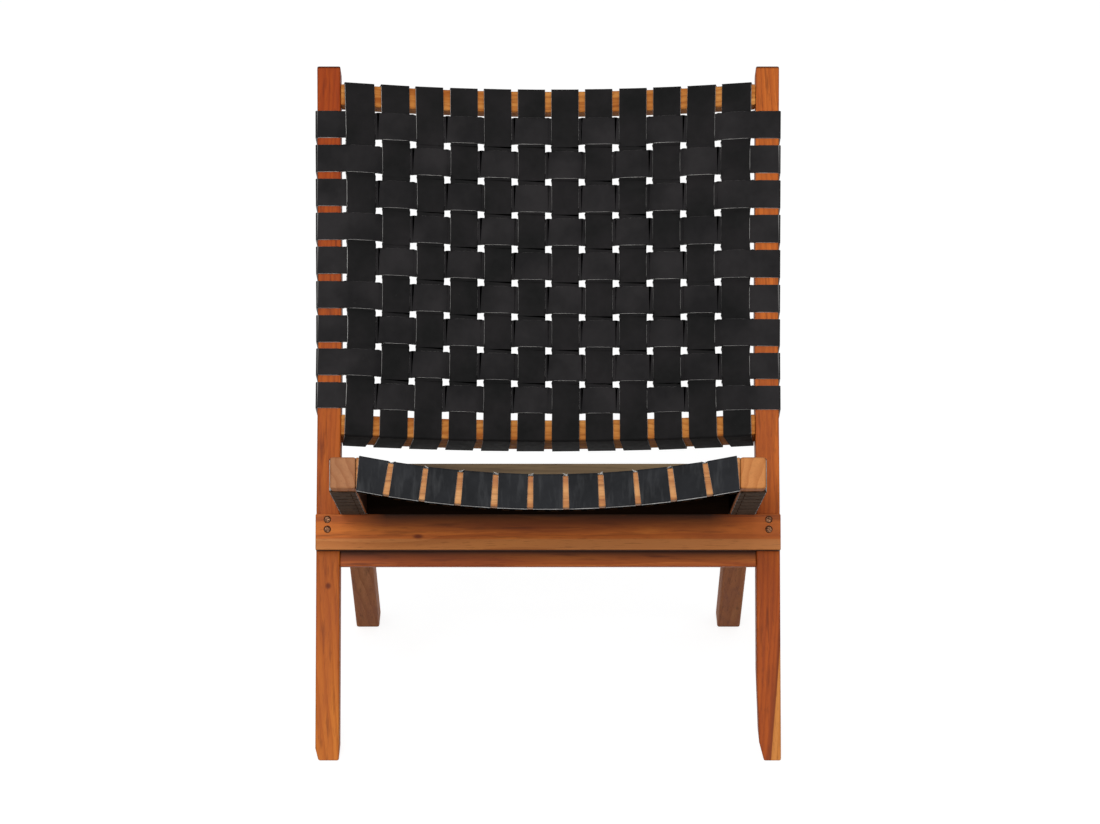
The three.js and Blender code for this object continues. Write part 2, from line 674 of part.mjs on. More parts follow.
// Pivot screws: a socket head in the post, a plain shoulder through post and washer and a thread in the
// seat's side rail
function makePivots() {
  const outer = overall_width / 2 - pivot_head_recess + seat_gap;
  const shoulder_end = seat_frame_width / 2 + seat_gap;
  const tip = seat_frame_width / 2 - pivot_thread_length;
  const profile = [
    [0, -outer - pivot_head_height + pivot_socket_depth],
    [pivot_socket_radius, -outer - pivot_head_height + pivot_socket_depth],
    [pivot_socket_radius, -outer - pivot_head_height],
    [pivot_head_radius, -outer - pivot_head_height],
    [pivot_head_radius, -outer],
    [pivot_shoulder_radius, -outer],
    [pivot_shoulder_radius, -shoulder_end],
    [pivot_thread_radius, -shoulder_end],
    [pivot_thread_radius, -tip],
    [0, -tip],
  ];
  for (const [side, turn] of [['left', 0], ['right', Math.PI]]) {
    const screw = turned(profile, round_steps).rotateZ(turn);
    addPiece(seat_group, `pivot_screw_${side}`, screw, steel);
    const inner = seat_frame_width / 2 + seat_gap;
    const far = inner + side_play - 2 * seat_gap;
    const hole = pivot_shoulder_radius + mortise_gap;
    const ring = [
      [hole, -far],
      [washer_radius, -far],
      [washer_radius, -inner],
      [hole, -inner],
      [hole, -far],
    ];
    const washer = turned(ring, round_steps).rotateZ(turn);
    addPiece(seat_group, `pivot_washer_${side}`, washer, steel);
  }
}

// Round-headed screws that hold the front cross rail to the posts
function makeRailScrews() {
  const seat = -seat_gap - cross_rail_thickness + rail_screw_recess - seat_gap;
  const dome = Array.from({ length: dome_steps + 1 }, (_, step) => {
    const angle = (Math.PI / 2) * (1 - step / dome_steps);
    return [rail_screw_head_radius * Math.cos(angle), seat - rail_screw_head_height * Math.sin(angle)];
  });
  const shank_end = seat + rail_screw_length - rail_screw_shank_radius;
  const shank = [
    [rail_screw_shank_radius, seat],
    [rail_screw_shank_radius, shank_end],
    [0, shank_end + rail_screw_shank_radius],
  ];
  const profile = [[0, dome[0][1]], ...dome.slice(1), ...shank];
  for (const [side, sign] of [['left', -1], ['right', 1]]) {
    for (const [level, drop] of Object.entries(rail_screw_drops)) {
      const screw = turned(profile, screw_steps).rotateZ(Math.PI / 2);
      const mesh = addPiece(lower_group, `rail_screw_${side}_${level}`, screw, steel);
      mesh.position.set((sign * (overall_width - post_width)) / 2, 0, cross_rail_top - drop);
    }
  }
}

makePosts();
makeBackRails();
makeFrontCrossRail();
makeLowerStretcher();
makeStopRail();
makeSeatSides();
makeSeatRails();
makeBackStraps();
makeSeatStraps();
makePivots();
makeRailScrews();

// The origin is on the floor, under the middle of the chair's width and depth
chair.updateMatrixWorld(true);
const extent = new THREE.Box3().setFromObject(chair, true);
chair.position.y = -(extent.min.y + extent.max.y) / 2;

export default chair;
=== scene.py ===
import math
from collections import namedtuple

import bmesh
import bpy
from mathutils import Matrix, Vector, noise


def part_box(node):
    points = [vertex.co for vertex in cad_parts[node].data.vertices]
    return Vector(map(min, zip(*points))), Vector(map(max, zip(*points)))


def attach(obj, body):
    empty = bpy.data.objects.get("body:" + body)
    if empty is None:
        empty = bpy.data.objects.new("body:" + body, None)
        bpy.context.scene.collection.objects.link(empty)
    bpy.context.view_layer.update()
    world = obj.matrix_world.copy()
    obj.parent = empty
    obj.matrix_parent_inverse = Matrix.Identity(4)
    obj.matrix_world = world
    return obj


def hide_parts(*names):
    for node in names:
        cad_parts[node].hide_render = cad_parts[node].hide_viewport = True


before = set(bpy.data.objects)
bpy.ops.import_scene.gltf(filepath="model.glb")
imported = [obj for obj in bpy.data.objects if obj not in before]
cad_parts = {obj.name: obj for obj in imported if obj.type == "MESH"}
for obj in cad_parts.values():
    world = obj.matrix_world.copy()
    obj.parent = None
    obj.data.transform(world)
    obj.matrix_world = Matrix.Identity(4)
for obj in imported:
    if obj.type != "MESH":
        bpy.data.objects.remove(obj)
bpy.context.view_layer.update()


# Posts of the back frame:
# Two bent side posts sawn from solid teak planks, planed, with their edges eased by a sanding block,
# and rubbed with oil. Their mortises take the rails; the pivot screws pass through them.

LOWER_LEAN = math.radians(23.5)
UPPER_LEAN = math.radians(30)
UP_THE_LEGS = Vector((0, math.sin(LOWER_LEAN), math.cos(LOWER_LEAN)))
UP_THE_BACK = Vector((0, math.sin(UPPER_LEAN), math.cos(UPPER_LEAN)))
POST_GRAIN = math.radians(27)  # the plank's grain runs straight, between the two leans of the post
POST_EASE = 0.0021
SANDED_ARRIS = math.radians(30)
SMALLEST_BOARD_EDGE = 0.003
SAME_FLAT = math.radians(0.5)
SAME_POINT = 0.00001
TOUCHING = 0.0001
GROUND = -0.1  # a height below the whole chair
WHOLE_BOARD = (1, 2)  # a reach to both sides beyond the whole chair
ZONE_FADE = 0.04  # the height over which a zone sets in
TOP_SPREAD = 0.005
SPREAD_START = 0.2  # as a share of the height from the low rail to the tops of the posts
SPREAD_SHAPE = 6  # the rails and the straps give way mostly beside the posts
POST_INNER = 0.265
POST_MIDDLE = 0.28  # between the inner and the outer side
FOOT_BREAK = 0.021
STRAIGHT_INNER = 0.27113  # the inner side at the height of the break, on a straight taper
BREAK_INNER = 0.2674

# sapwood, a stain or painted shade beyond a plane and above a height, ragged by the grain; its rings have
# a tone of their own, and it covers at most a share of the board's own colour
Zone = namedtuple("Zone", "normal start full tone ring_tone most ragged above", defaults=(0.003, GROUND))


def linear(hex_code):
    """The linear colour of an sRGB hex value."""
    shares = [int(hex_code[place:place + 2], 16) / 255 for place in (1, 3, 5)]
    curve = [s / 12.92 if s <= 0.04045 else ((s + 0.055) / 1.055) ** 2.4 for s in shares]
    return (*curve, 1)


def add_node(tree, kind, inputs=None, stops=None, **settings):
    """Adds a node; an input is linked where it is given a socket, and set where it is given a value."""
    made = tree.nodes.new(kind)
    for name, value in settings.items():
        setattr(made, name, value)
    for place, (position, colour) in enumerate(stops or []):
        element = made.color_ramp.elements[place] if place < 2 else made.color_ramp.elements.new(position)
        element.position = position
        element.color = colour
    for name, value in (inputs or {}).items():
        if isinstance(value, bpy.types.NodeSocket):
            tree.links.new(value, made.inputs[name])
        else:
            made.inputs[name].default_value = value
    return made


def add_noise(tree, where, scale, detail, roughness=0.5, distortion=0):
    return add_node(tree, "ShaderNodeTexNoise", {
        "Vector": where, "Scale": scale, "Detail": detail, "Roughness": roughness, "Distortion": distortion})


def add_range(tree, value, source, target=(0, 1), **settings):
    """Maps a value from one range to another."""
    return add_node(tree, "ShaderNodeMapRange", {
        "Value": value, "From Min": source[0], "From Max": source[1],
        "To Min": target[0], "To Max": target[1]}, **settings).outputs["Result"]


def add_mix(tree, share, under, over, **settings):
    """Lays a share of one colour over another."""
    return add_node(tree, "ShaderNodeMix", {0: share, 6: under, 7: over},
                    data_type="RGBA", **settings).outputs[2]


def add_math(tree, operation, *inputs):
    return add_node(tree, "ShaderNodeMath", dict(enumerate(inputs)), operation=operation).outputs["Value"]


def add_vector_math(tree, operation, *inputs):
    made = add_node(tree, "ShaderNodeVectorMath", dict(enumerate(inputs)), operation=operation)
    return made.outputs["Value" if operation in ("DOT_PRODUCT", "LENGTH") else "Vector"]


def add_bump(tree, height, strength, distance, **settings):
    return add_node(tree, "ShaderNodeBump", {
        "Height": height, "Strength": strength, "Distance": distance}, **settings).outputs["Normal"]


def add_surface(tree, inputs):
    shader = add_node(tree, "ShaderNodeBsdfPrincipled", inputs)
    add_node(tree, "ShaderNodeOutputMaterial", {"Surface": shader.outputs["BSDF"]})


def new_material(name):
    """Adds an empty material, and returns it with its nodes' tree and its object coordinates."""
    material = bpy.data.materials.new(name)
    material.use_nodes = True
    tree = material.node_tree
    tree.nodes.clear()
    return material, tree, add_node(tree, "ShaderNodeTexCoord").outputs["Object"]


def oiled_teak(name, turn, pith, tones, ring=0.0055, zones=(), knot=None, drift=None, gloss=0.2,
               paler_share=0.0):
    """Teak with growth rings about a pith beside the board, streaks, pores and an oil finish.

    Oiled teak shows the eye a warm orange brown with darker lines along the board, short dark pores,
    and a soft low gloss. The turn and pith place the log's axis, and tones are its pale, middle, dark
    and darkest colours. The zones are sapwood, stains and painted shade, the drift is a change of colour
    from a lower to an upper height that fades out towards the ends of the board, the knot is a dark eye,
    and paler_share is how far the arrises are made paler, partly for wear and partly as a painted highlight.
    """
    material, tree, place = new_material(name)
    pale, middle, dark, darkest = [linear(tone) for tone in tones]
    board = add_node(tree, "ShaderNodeMapping", {
        "Vector": place, "Rotation": turn, "Location": pith}).outputs["Vector"]
    drawn = add_vector_math(tree, "MULTIPLY", board, (1, 1, 0.07))
    # the grain wanders by a few millimetres over the length of a board
    wander = add_noise(tree, drawn, scale=22, detail=2, roughness=0.55)
    centred = add_vector_math(tree, "SUBTRACT", wander.outputs["Color"], (0.5, 0.5, 0.5))
    grain = add_vector_math(tree, "MULTIPLY_ADD", centred, (0.024, 0.024, 0), board)
    rings = add_node(tree, "ShaderNodeTexWave", {"Vector": grain, "Scale": math.pi / 10 / ring},
                     wave_type="RINGS", rings_direction="Z", wave_profile="SAW")
    late_wood = add_range(tree, rings.outputs["Fac"], (0.35, 1), (0, 0.55), interpolation_type="SMOOTHSTEP")
    # broad streaks, 15 to 40 mm wide
    streaks = add_noise(tree, drawn, scale=48, detail=4, roughness=0.6, distortion=0.6).outputs["Fac"]
    heart = add_node(tree, "ShaderNodeValToRGB", {"Fac": streaks}, stops=[
        (0.30, dark), (0.68, pale), (0.50, middle)])
    ringed = add_mix(tree, late_wood, heart.outputs["Color"], dark)
    # dark mineral lines, 1 to 3 mm wide
    lines = add_noise(tree, drawn, scale=210, detail=3, roughness=0.55)
    dark_lines = add_range(tree, lines.outputs["Fac"], (0.56, 0.74), (0, 0.62))
    colour = add_mix(tree, dark_lines, ringed, darkest)
    spot = add_node(tree, "ShaderNodeSeparateXYZ", {"Vector": place})
    for zone in zones:
        side = add_vector_math(tree, "DOT_PRODUCT", place, zone.normal)
        moved = add_math(tree, "MULTIPLY_ADD", wander.outputs["Fac"], zone.ragged, side)
        share = add_range(tree, moved, (zone.start + zone.ragged / 2, zone.full + zone.ragged / 2),
                          (0, zone.most))
        high_enough = add_range(tree, spot.outputs["Z"], (zone.above, zone.above + ZONE_FADE))
        toned = add_mix(tree, late_wood, linear(zone.tone), linear(zone.ring_tone))
        colour = add_mix(tree, add_math(tree, "MULTIPLY", share, high_enough), colour, toned)
    if drift:
        # the board's colour drifts from its lower to its upper end
        low, high, low_tint, high_tint, fade = drift
        upwards = add_range(tree, spot.outputs["Z"], (low, high))
        kept = add_range(tree, add_math(tree, "ABSOLUTE", spot.outputs["X"]), fade, (1, 0))
        tint = add_mix(tree, add_math(tree, "MULTIPLY", upwards, kept), linear(low_tint), linear(high_tint))
        colour = add_mix(tree, 1, colour, tint, blend_type="MULTIPLY")
    if knot:
        # a pin knot, longer along the grain than across it
        centre, squeeze = knot
        away = add_vector_math(tree, "SUBTRACT", place, centre)
        distance = add_vector_math(tree, "LENGTH", add_vector_math(tree, "MULTIPLY", away, squeeze))
        core = add_range(tree, distance, (0.001, 0.0042), (0.85, 0), interpolation_type="SMOOTHSTEP")
        colour = add_mix(tree, core, colour, linear("#5e2008"))
    # open pores: dark dashes about 1 mm wide, drawn three times as coarse as the real ones so they show
    pores = add_noise(tree, drawn, scale=820, detail=2)
    pore_marks = add_range(tree, pores.outputs["Fac"], (0.58, 0.72), (0, 0.38))
    colour = add_mix(tree, pore_marks, colour, darkest)
    # arrises made paler: partly wear, partly a painted highlight along the rounded edge
    if paler_share:
        worn = add_range(tree, streaks, (0.3, 0.6), (paler_share * 0.4, paler_share))
        colour = add_mix(tree, worn, colour, linear("#d9a878"))
    relief = add_math(tree, "SUBTRACT", pore_marks, late_wood)
    oil = add_range(tree, streaks, (0.3, 0.7), (0.52, 0.66))
    add_surface(tree, {"Base Color": colour, "Roughness": oil, "IOR": 1.46, "Specular IOR Level": gloss,
                       "Normal": add_bump(tree, relief, 0.35, 0.0002, invert=True)})
    return material


def teak_pair(name, paler_share, **looks):
    """The teak of a board's faces, and the same teak made paler for its arrises, partly for wear and partly
    as a painted highlight.
    """
    return oiled_teak(name, **looks), oiled_teak(f"{name}_arris", **looks, paler_share=paler_share)


def new_piece(mesh, name):
    """Adds a copy of a mesh as the one selected and active object."""
    bpy.ops.object.select_all(action="DESELECT")
    piece = bpy.data.objects.new(name, mesh.copy())
    bpy.context.collection.objects.link(piece)
    bpy.context.view_layer.objects.active = piece
    piece.select_set(True)
    return piece


def merged_copy(node, name):
    """Opens a copy of a CAD node in edit mode, with its loose triangles merged and selected."""
    piece = new_piece(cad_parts[node].data, name)
    piece.data.materials.clear()
    bpy.ops.mesh.customdata_custom_splitnormals_clear()
    bpy.ops.object.mode_set(mode="EDIT")
    bpy.ops.mesh.select_all(action="SELECT")
    bpy.ops.mesh.remove_doubles(threshold=SAME_POINT)
    return piece


def select_edges(piece, wanted):
    bpy.ops.mesh.select_mode(type="EDGE")
    bpy.ops.mesh.select_all(action="DESELECT")
    shape = bmesh.from_edit_mesh(piece.data)
    for edge in shape.edges:
        if len(edge.link_faces) == 2 and wanted(edge):
            edge.select_set(True)
    bmesh.update_edit_mesh(piece.data)


def bevel(offset, segments, **settings):
    bpy.ops.mesh.bevel(offset=offset, segments=segments, profile=0.5, clamp_overlap=False, **settings)


def finish_mesh(piece, materials, smooth_angle=35):
    """Leaves edit mode, gives the piece its materials and shades its curves smooth and its flats flat."""
    bpy.ops.object.mode_set(mode="OBJECT")
    for material in materials:
        piece.data.materials.append(material)
    bpy.ops.object.shade_smooth_by_angle(angle=math.radians(smooth_angle))
    shading = piece.modifiers.new("flat_faces", "WEIGHTED_NORMAL")
    shading.keep_sharp = True
    bpy.ops.object.modifier_apply(modifier=shading.name)


def stands_for(piece, node, body):
    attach(piece, body)
    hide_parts(node)


def eased_board(node, name, body, materials, ease, breaks=()):
    """A board with its long arrises rounded by ease; the rounding takes the second material.

    The breaks are planes, each a point and a normal, in which the board gets new edges.
    """
    piece = merged_copy(node, name)
    bpy.ops.mesh.dissolve_limited(angle_limit=SAME_FLAT)
    for point, normal in breaks:
        bpy.ops.mesh.select_all(action="SELECT")
        bpy.ops.mesh.bisect(plane_co=point, plane_no=normal)
    select_edges(piece, lambda edge: edge.calc_face_angle() > SANDED_ARRIS
                 and edge.calc_length() > SMALLEST_BOARD_EDGE)
    bevel(ease, 3, material=1)
    finish_mesh(piece, materials)
    stands_for(piece, node, body)
    return piece


def reach(node, way):
    """How far a CAD node reaches in a direction."""
    return max(vertex.co.dot(way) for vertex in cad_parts[node].data.vertices)


post_top = reach("post_left", UP_THE_BACK)
low_rail_top = reach("back_low_rail", UP_THE_BACK)
spread_from = low_rail_top + SPREAD_START * (post_top - low_rail_top)


def spread(mesh):
    """Moves a mesh sideways with the posts, which stand 10 mm further apart at their tops than below."""
    for vertex in mesh.vertices:
        share = (vertex.co.dot(UP_THE_BACK) - spread_from) / (post_top - spread_from)
        if share > 0:
            beside = min(1, abs(vertex.co.x) / POST_INNER) ** SPREAD_SHAPE
            vertex.co.x += math.copysign(TOP_SPREAD * share * beside, vertex.co.x)


# handling has darkened the end grain at the top of each post
handled_top = Zone(UP_THE_BACK, post_top - 0.0042, post_top - 0.0024, "#4d2b17", "#4d2b17", 0.85, 0.0012)
left_post_teak = teak_pair(
    "oiled_teak_left_post", 0.12, turn=(POST_GRAIN, 0, 0), pith=(0.35, 0.06, 0),
    tones=("#cb762b", "#bd6722", "#a34f13", "#6d300b"), zones=[handled_top],
    knot=((-0.2795, -0.0701, 0.2037), (0.8, 0.4, 0.75)),
    drift=(0.02, 0.7, "#ffffff", "#cd9968", WHOLE_BOARD))
# the right foot's outer edge shows a wedge of pale sapwood that runs out upwards, with dark heartwood
# beside it
SAPWOOD_SLANT = (1, 0, -0.095)  # outwards, and slightly down
right_post_teak = teak_pair(
    "oiled_teak_right_post", 0.12, turn=(POST_GRAIN, 0, 0), pith=(-0.42, 0.02, 0),
    tones=("#cc6e28", "#b95e1d", "#9b4814", "#5f290a"),
    zones=[Zone(SAPWOOD_SLANT, 0.2765, 0.2805, "#7c3d18", "#55240d", 0.6),
           Zone(SAPWOOD_SLANT, 0.2820, 0.2830, "#e8a456", "#cf8838", 0.95), handled_top],
    drift=(0.22, 0.34, "#e2cdb8", "#ffffff", WHOLE_BOARD))

spread_plane = (UP_THE_BACK * spread_from, UP_THE_BACK)
foot_plane = ((0, 0, FOOT_BREAK), (0, 0, 1))
left_post = eased_board("post_left", "left_post", "back_frame", left_post_teak, POST_EASE, [spread_plane])
right_post = eased_board("post_right", "right_post", "back_frame", right_post_teak, POST_EASE,
                         [spread_plane, foot_plane])
spread(left_post.data)
spread(right_post.data)
# the inner side of the right foot is rasped off most in its last 20 mm
for vertex in right_post.data.vertices:
    if abs(vertex.co.z - FOOT_BREAK) < TOUCHING and vertex.co.x < POST_MIDDLE:
        vertex.co.x += BREAK_INNER - STRAIGHT_INNER


# Curved rails of the back:
# Two teak rails sawn to a shallow curve, one near the top of the back and one low down, with stub
# tenons glued into the posts. Their faces show between the upright straps that wrap round them.

BACK_RAIL_EASE = 0.0022
UNDERSIDE_SLANT = 0.0033
UNDERSIDE_REACH = 0.005  # what lies no higher than this above the underside goes with it
LOW_RAIL_DEPTH = 0.045
RAIL_CURVE = 0.4745  # how far the curve comes forward, by the square of the distance from its middle
CURVE_MIDDLE = 0.144
FRONT_OF_BACK = Vector((0, -math.cos(UPPER_LEAN), math.sin(UPPER_LEAN)))
low_rail_bottom = -reach("back_low_rail", -UP_THE_BACK)


def slant_underneath(mesh):
    """Lowers the rear edge of the low rail's underside, which is planed out of square, and its straps."""
    for vertex in mesh.vertices:
        if vertex.co.dot(UP_THE_BACK) < low_rail_bottom + UNDERSIDE_REACH:
            front = CURVE_MIDDLE + RAIL_CURVE * vertex.co.x ** 2
            share = (front - vertex.co.dot(FRONT_OF_BACK)) / LOW_RAIL_DEPTH
            vertex.co -= UP_THE_BACK * UNDERSIDE_SLANT * max(0, min(1, share))


CROSSWISE = (0, -math.pi / 2, 0)  # turns the log's axis along X

back_rail_teak = teak_pair("oiled_teak_back_rails", 0.35, turn=CROSSWISE, pith=(0.62, 0.05, 0), ring=0.006,
                           tones=("#cd8f4c", "#bd7a3a", "#9c5521", "#6a3312"), gloss=0.05)
for node, name in (("back_top_rail", "upper_back_rail"), ("back_low_rail", "lower_back_rail")):
    rail = eased_board(node, name, "back_frame", back_rail_teak, BACK_RAIL_EASE)
    spread(rail.data)
    slant_underneath(rail.data)


# Straight rails between and across the posts:
# The cross rail is screwed to the fronts of the posts and carries the seat frame; the thin stretcher
# is tenoned in just below and behind it; the stop rail lies on the backs of the posts. All are teak.

CROSS_RAIL_EASE = 0.0016

DOWN_THE_LEGS = -UP_THE_LEGS
# a near black used as painted shade under the cross rail
PAINTED_SHADE_UNDER_CROSS_RAIL = "#230b03"

# the cross rail has a painted shadow of the seat, darker towards its upper edge and deepest in the
# middle; it has sapwood along its lower edge, and painted shade underneath
cross_rail_teak = teak_pair(
    "oiled_teak_cross_rail", 0.3, turn=CROSSWISE, pith=(0.30, 0.42, 0), ring=0.007,
    tones=("#dc8136", "#c26727", "#9b4a18", "#632f0f"),
    zones=[Zone((0, 0, -1), -0.2665, -0.2653, "#c27c42", "#a9622c", 0.85),
           # painted shade on the cross rail's underside
           Zone(DOWN_THE_LEGS, -0.2037, -0.2029, PAINTED_SHADE_UNDER_CROSS_RAIL, PAINTED_SHADE_UNDER_CROSS_RAIL, 0.95, 0)],
    # painted shadow of the seat: darker and bluer towards the top edge, deepest in the middle
    drift=(0.2715, 0.2945, "#ffffff", "#3e454c", (0.205, 0.25)),
    knot=((-0.165, -0.0661, 0.26875), (0.45, 1, 1)))
eased_board("front_cross_rail", "cross_rail", "back_frame", cross_rail_teak, CROSS_RAIL_EASE)
# the stretcher's top edge, just under the cross rail, carries a painted shadow of that rail
stretcher_teak = teak_pair(
    "oiled_teak_stretcher", 0.3, turn=CROSSWISE, pith=(0.33, 0.15, 0.4), ring=0.006,
    tones=("#cc7433", "#b55e29", "#92421a", "#5c280f"),
    zones=[Zone(UP_THE_LEGS, 0.1895, 0.2025, PAINTED_SHADE_UNDER_CROSS_RAIL, PAINTED_SHADE_UNDER_CROSS_RAIL, 0.98)])
eased_board("lower_stretcher", "stretcher", "back_frame", stretcher_teak, CROSS_RAIL_EASE)
# the stop rail has lost its oil and has greyed
stop_rail_teak = teak_pair(
    "greyed_teak_stop_rail", 0.3, turn=CROSSWISE, pith=(0.5, 0.3, 0.7), ring=0.006,
    tones=("#857052", "#6f5b41", "#58452f", "#3c2c1c"))
eased_board("stop_rail", "rear_stop_rail", "back_frame", stop_rail_teak, CROSS_RAIL_EASE)


# Seat frame:
# Two bent teak side rails run from the seat's front end to the rear feet. A curved front rail and a
# straight rear rail are tenoned between them; the end grain of the side rails shows at the front.

SEAT_GRAIN = math.radians(121)  # between the slopes of the seat and of the rear legs
SEAT_EASE = 0.0032
SEAT_SIDE_INNER = 0.2300
REAR_RAIL_UNDERSIDE = 0.2555
HOUSING_DEPTH = 0.0023
REAR_RAIL_DROP = 0.0027
# a near black used as painted shade under the seat
PAINTED_UNDER_SEAT_SHADE = "#1b0f08"
ABOVE_THE_PIVOT = 0.25
FRONT_OF_SEAT = Vector((0, -math.cos(LOWER_LEAN), math.sin(LOWER_LEAN)))
seat_front = reach("seat_side_left", FRONT_OF_SEAT)

for node, name, side, end_tone, end_ring in (
        ("seat_side_left", "left_seat_side", -1, "#986c4c", "#835336"),
        ("seat_side_right", "right_seat_side", 1, "#bf8049", "#a56433")):
    # painted shade under the seat darkens the inner face above the pivot
    inner_face_shade = Zone((-side, 0, 0), -SEAT_SIDE_INNER - 0.0009, -SEAT_SIDE_INNER - 0.0003,
                 PAINTED_UNDER_SEAT_SHADE, PAINTED_UNDER_SEAT_SHADE, 0.97, 0, ABOVE_THE_PIVOT)
    end_grain = Zone(FRONT_OF_SEAT, seat_front - 0.003, seat_front - 0.001, end_tone, end_ring, 0.8, 0)
    side_teak = teak_pair(
        f"oiled_teak_{name}", 0.7, turn=(SEAT_GRAIN, 0, 0), pith=(0.02, 0.28, 0), ring=0.0115,
        tones=("#c88558", "#b67044", "#9a562f", "#64361b"), zones=[inner_face_shade, end_grain], gloss=0.08)
    eased_board(node, name, "seat_frame", side_teak, SEAT_EASE)

front_rail_teak = teak_pair("oiled_teak_seat_rails", 0.4, turn=CROSSWISE, pith=(0.45, 0.5, 0), ring=0.005,
                            tones=("#c99460", "#b97f4b", "#9d6136", "#6f4224"))
eased_board("seat_front_rail", "front_seat_rail", "seat_frame", front_rail_teak, CROSS_RAIL_EASE)
# the rear rail, shut in between the straps that wrap it, is painted near black as painted shade under the
# seat; the tails of the straps are let into its underside, which hangs low enough to close the gap over the
# cross rail
rear_rail_shaded_teak = teak_pair("dye_stained_teak_rear_rail", 0.1, turn=CROSSWISE, pith=(0.4, 0.2, 0.3),
                           ring=0.006, tones=("#22160d", "#190f09", "#110a05", "#0a0503"), gloss=0)
rear_rail = eased_board("seat_rear_rail", "rear_seat_rail", "seat_frame", rear_rail_shaded_teak, CROSS_RAIL_EASE)
for vertex in rear_rail.data.vertices:
    if vertex.co.dot(UP_THE_LEGS) < REAR_RAIL_UNDERSIDE:
        vertex.co += DOWN_THE_LEGS * (HOUSING_DEPTH + REAR_RAIL_DROP)


# Upright straps of the back:
# Flat straps cut from black-dyed cowhide, with a glazed grain side, a rough flesh side and raw grey
# cut edges. Each wraps round both curved rails, and is woven over and under the level straps.

SHORTEST_CROSS_EDGE = 0.02
THICKEST_EDGE = 0.003
ALIGNED = 0.9  # the least cosine between directions that count as the same
FLAT_QUAD = math.radians(25)
QUAD_SHAPE = math.radians(60)
SQUARE_CUT = math.radians(65)
WEAVE_TURN = (4, 60)  # degrees, where a strap passes over or under another
WRAP_TURN = (60, 120)  # degrees, where it wraps round a rail
FACING = 0.8  # the least cosine of a face that looks to one side of the strap
STRAP_SMOOTHNESS = 50
GRAIN, CUT, FLESH = range(3)
WEAVE_BEND = 0.0028
OUTER_BEND = 0.0032
INNER_BEND = 0.0012
CUT_EDGE_ROUNDING = 0.00045
LIT_EDGE_CUT = 0.00095  # one long edge of each strap, the one towards the light, shows a broader pale cut face: a painted highlight
SWAY = 0.0006
SWAY_WAVES = 6
NEXT_STRAP = 7.3  # the step through the noise from one strap to the next
SWAY_PEAK = 1.6  # brings the noise's usual peaks up to the full sway
ACROSS = Vector((1, 0, 0))


def glazed_grain(name, deep, worn, gloss, rubs=None):
    """The dyed and glazed grain side of the hide.

    It gives the eye a near-black charcoal that changes a little from strap to strap, a low sheen, and
    a fine pebble of about 1 mm, drawn twice its real size so that it shows. The rubs are greyer
    streaks along the strap where its glaze has worn.
    """
    material, tree, place = new_material(name)
    hide = add_noise(tree, place, scale=17, detail=3, roughness=0.55)
    dyed = add_node(tree, "ShaderNodeValToRGB", {"Fac": hide.outputs["Fac"]}, stops=[
        (0.34, linear(deep)), (0.66, linear(worn))])
    pebble = add_node(tree, "ShaderNodeTexVoronoi", {"Vector": place, "Scale": 900}, feature="SMOOTH_F1")
    creases = add_noise(tree, place, scale=130, detail=4, roughness=0.65).outputs["Fac"]
    # scattered pale scuffs, one or two on a strap
    scuffs = add_noise(tree, place, scale=95, detail=5, roughness=0.7)
    scuffed = add_range(tree, scuffs.outputs["Fac"], (0.69, 0.8), (0, 0.35))
    colour = add_mix(tree, scuffed, dyed.outputs["Color"], linear("#5d5a5a"))
    if rubs:
        drawn = add_vector_math(tree, "MULTIPLY", place, (1, 0.2, 0.2))
        rubbing = add_noise(tree, drawn, scale=120, detail=3, roughness=0.6)
        paler_share = add_range(tree, rubbing.outputs["Fac"], (0.5, 0.72), (0, 0.42))
        colour = add_mix(tree, paler_share, colour, linear(rubs))
    relief = add_math(tree, "MULTIPLY_ADD", creases, 1.5, pebble.outputs["Distance"])
    glaze = add_range(tree, creases, (0.3, 0.7), (gloss - 0.06, gloss + 0.08))
    add_surface(tree, {"Base Color": colour, "Roughness": glaze, "IOR": 1.5, "Specular IOR Level": 0.12,
                       "Normal": add_bump(tree, relief, 0.3, 0.00025)})
    return material


def raw_leather(name, dark, light, grit, sheen=0.08):
    """Undyed fibre, as on the cut edges and the flesh side.

    It gives the eye a matt, patchy grey brown with a fuzzy surface of loose fibres about grit long.
    """
    material, tree, place = new_material(name)
    patches = add_noise(tree, place, scale=60, detail=4, roughness=0.6)
    fibres = add_noise(tree, place, scale=1 / grit, detail=3, roughness=0.7).outputs["Fac"]
    both = add_math(tree, "ADD", patches.outputs["Fac"], fibres)
    colour = add_mix(tree, add_range(tree, both, (0.75, 1.25)), linear(dark), linear(light))
    add_surface(tree, {"Base Color": colour, "Roughness": 0.92, "IOR": 1.5, "Specular IOR Level": sheen,
                       "Normal": add_bump(tree, fibres, 0.5, 0.0003)})
    return material


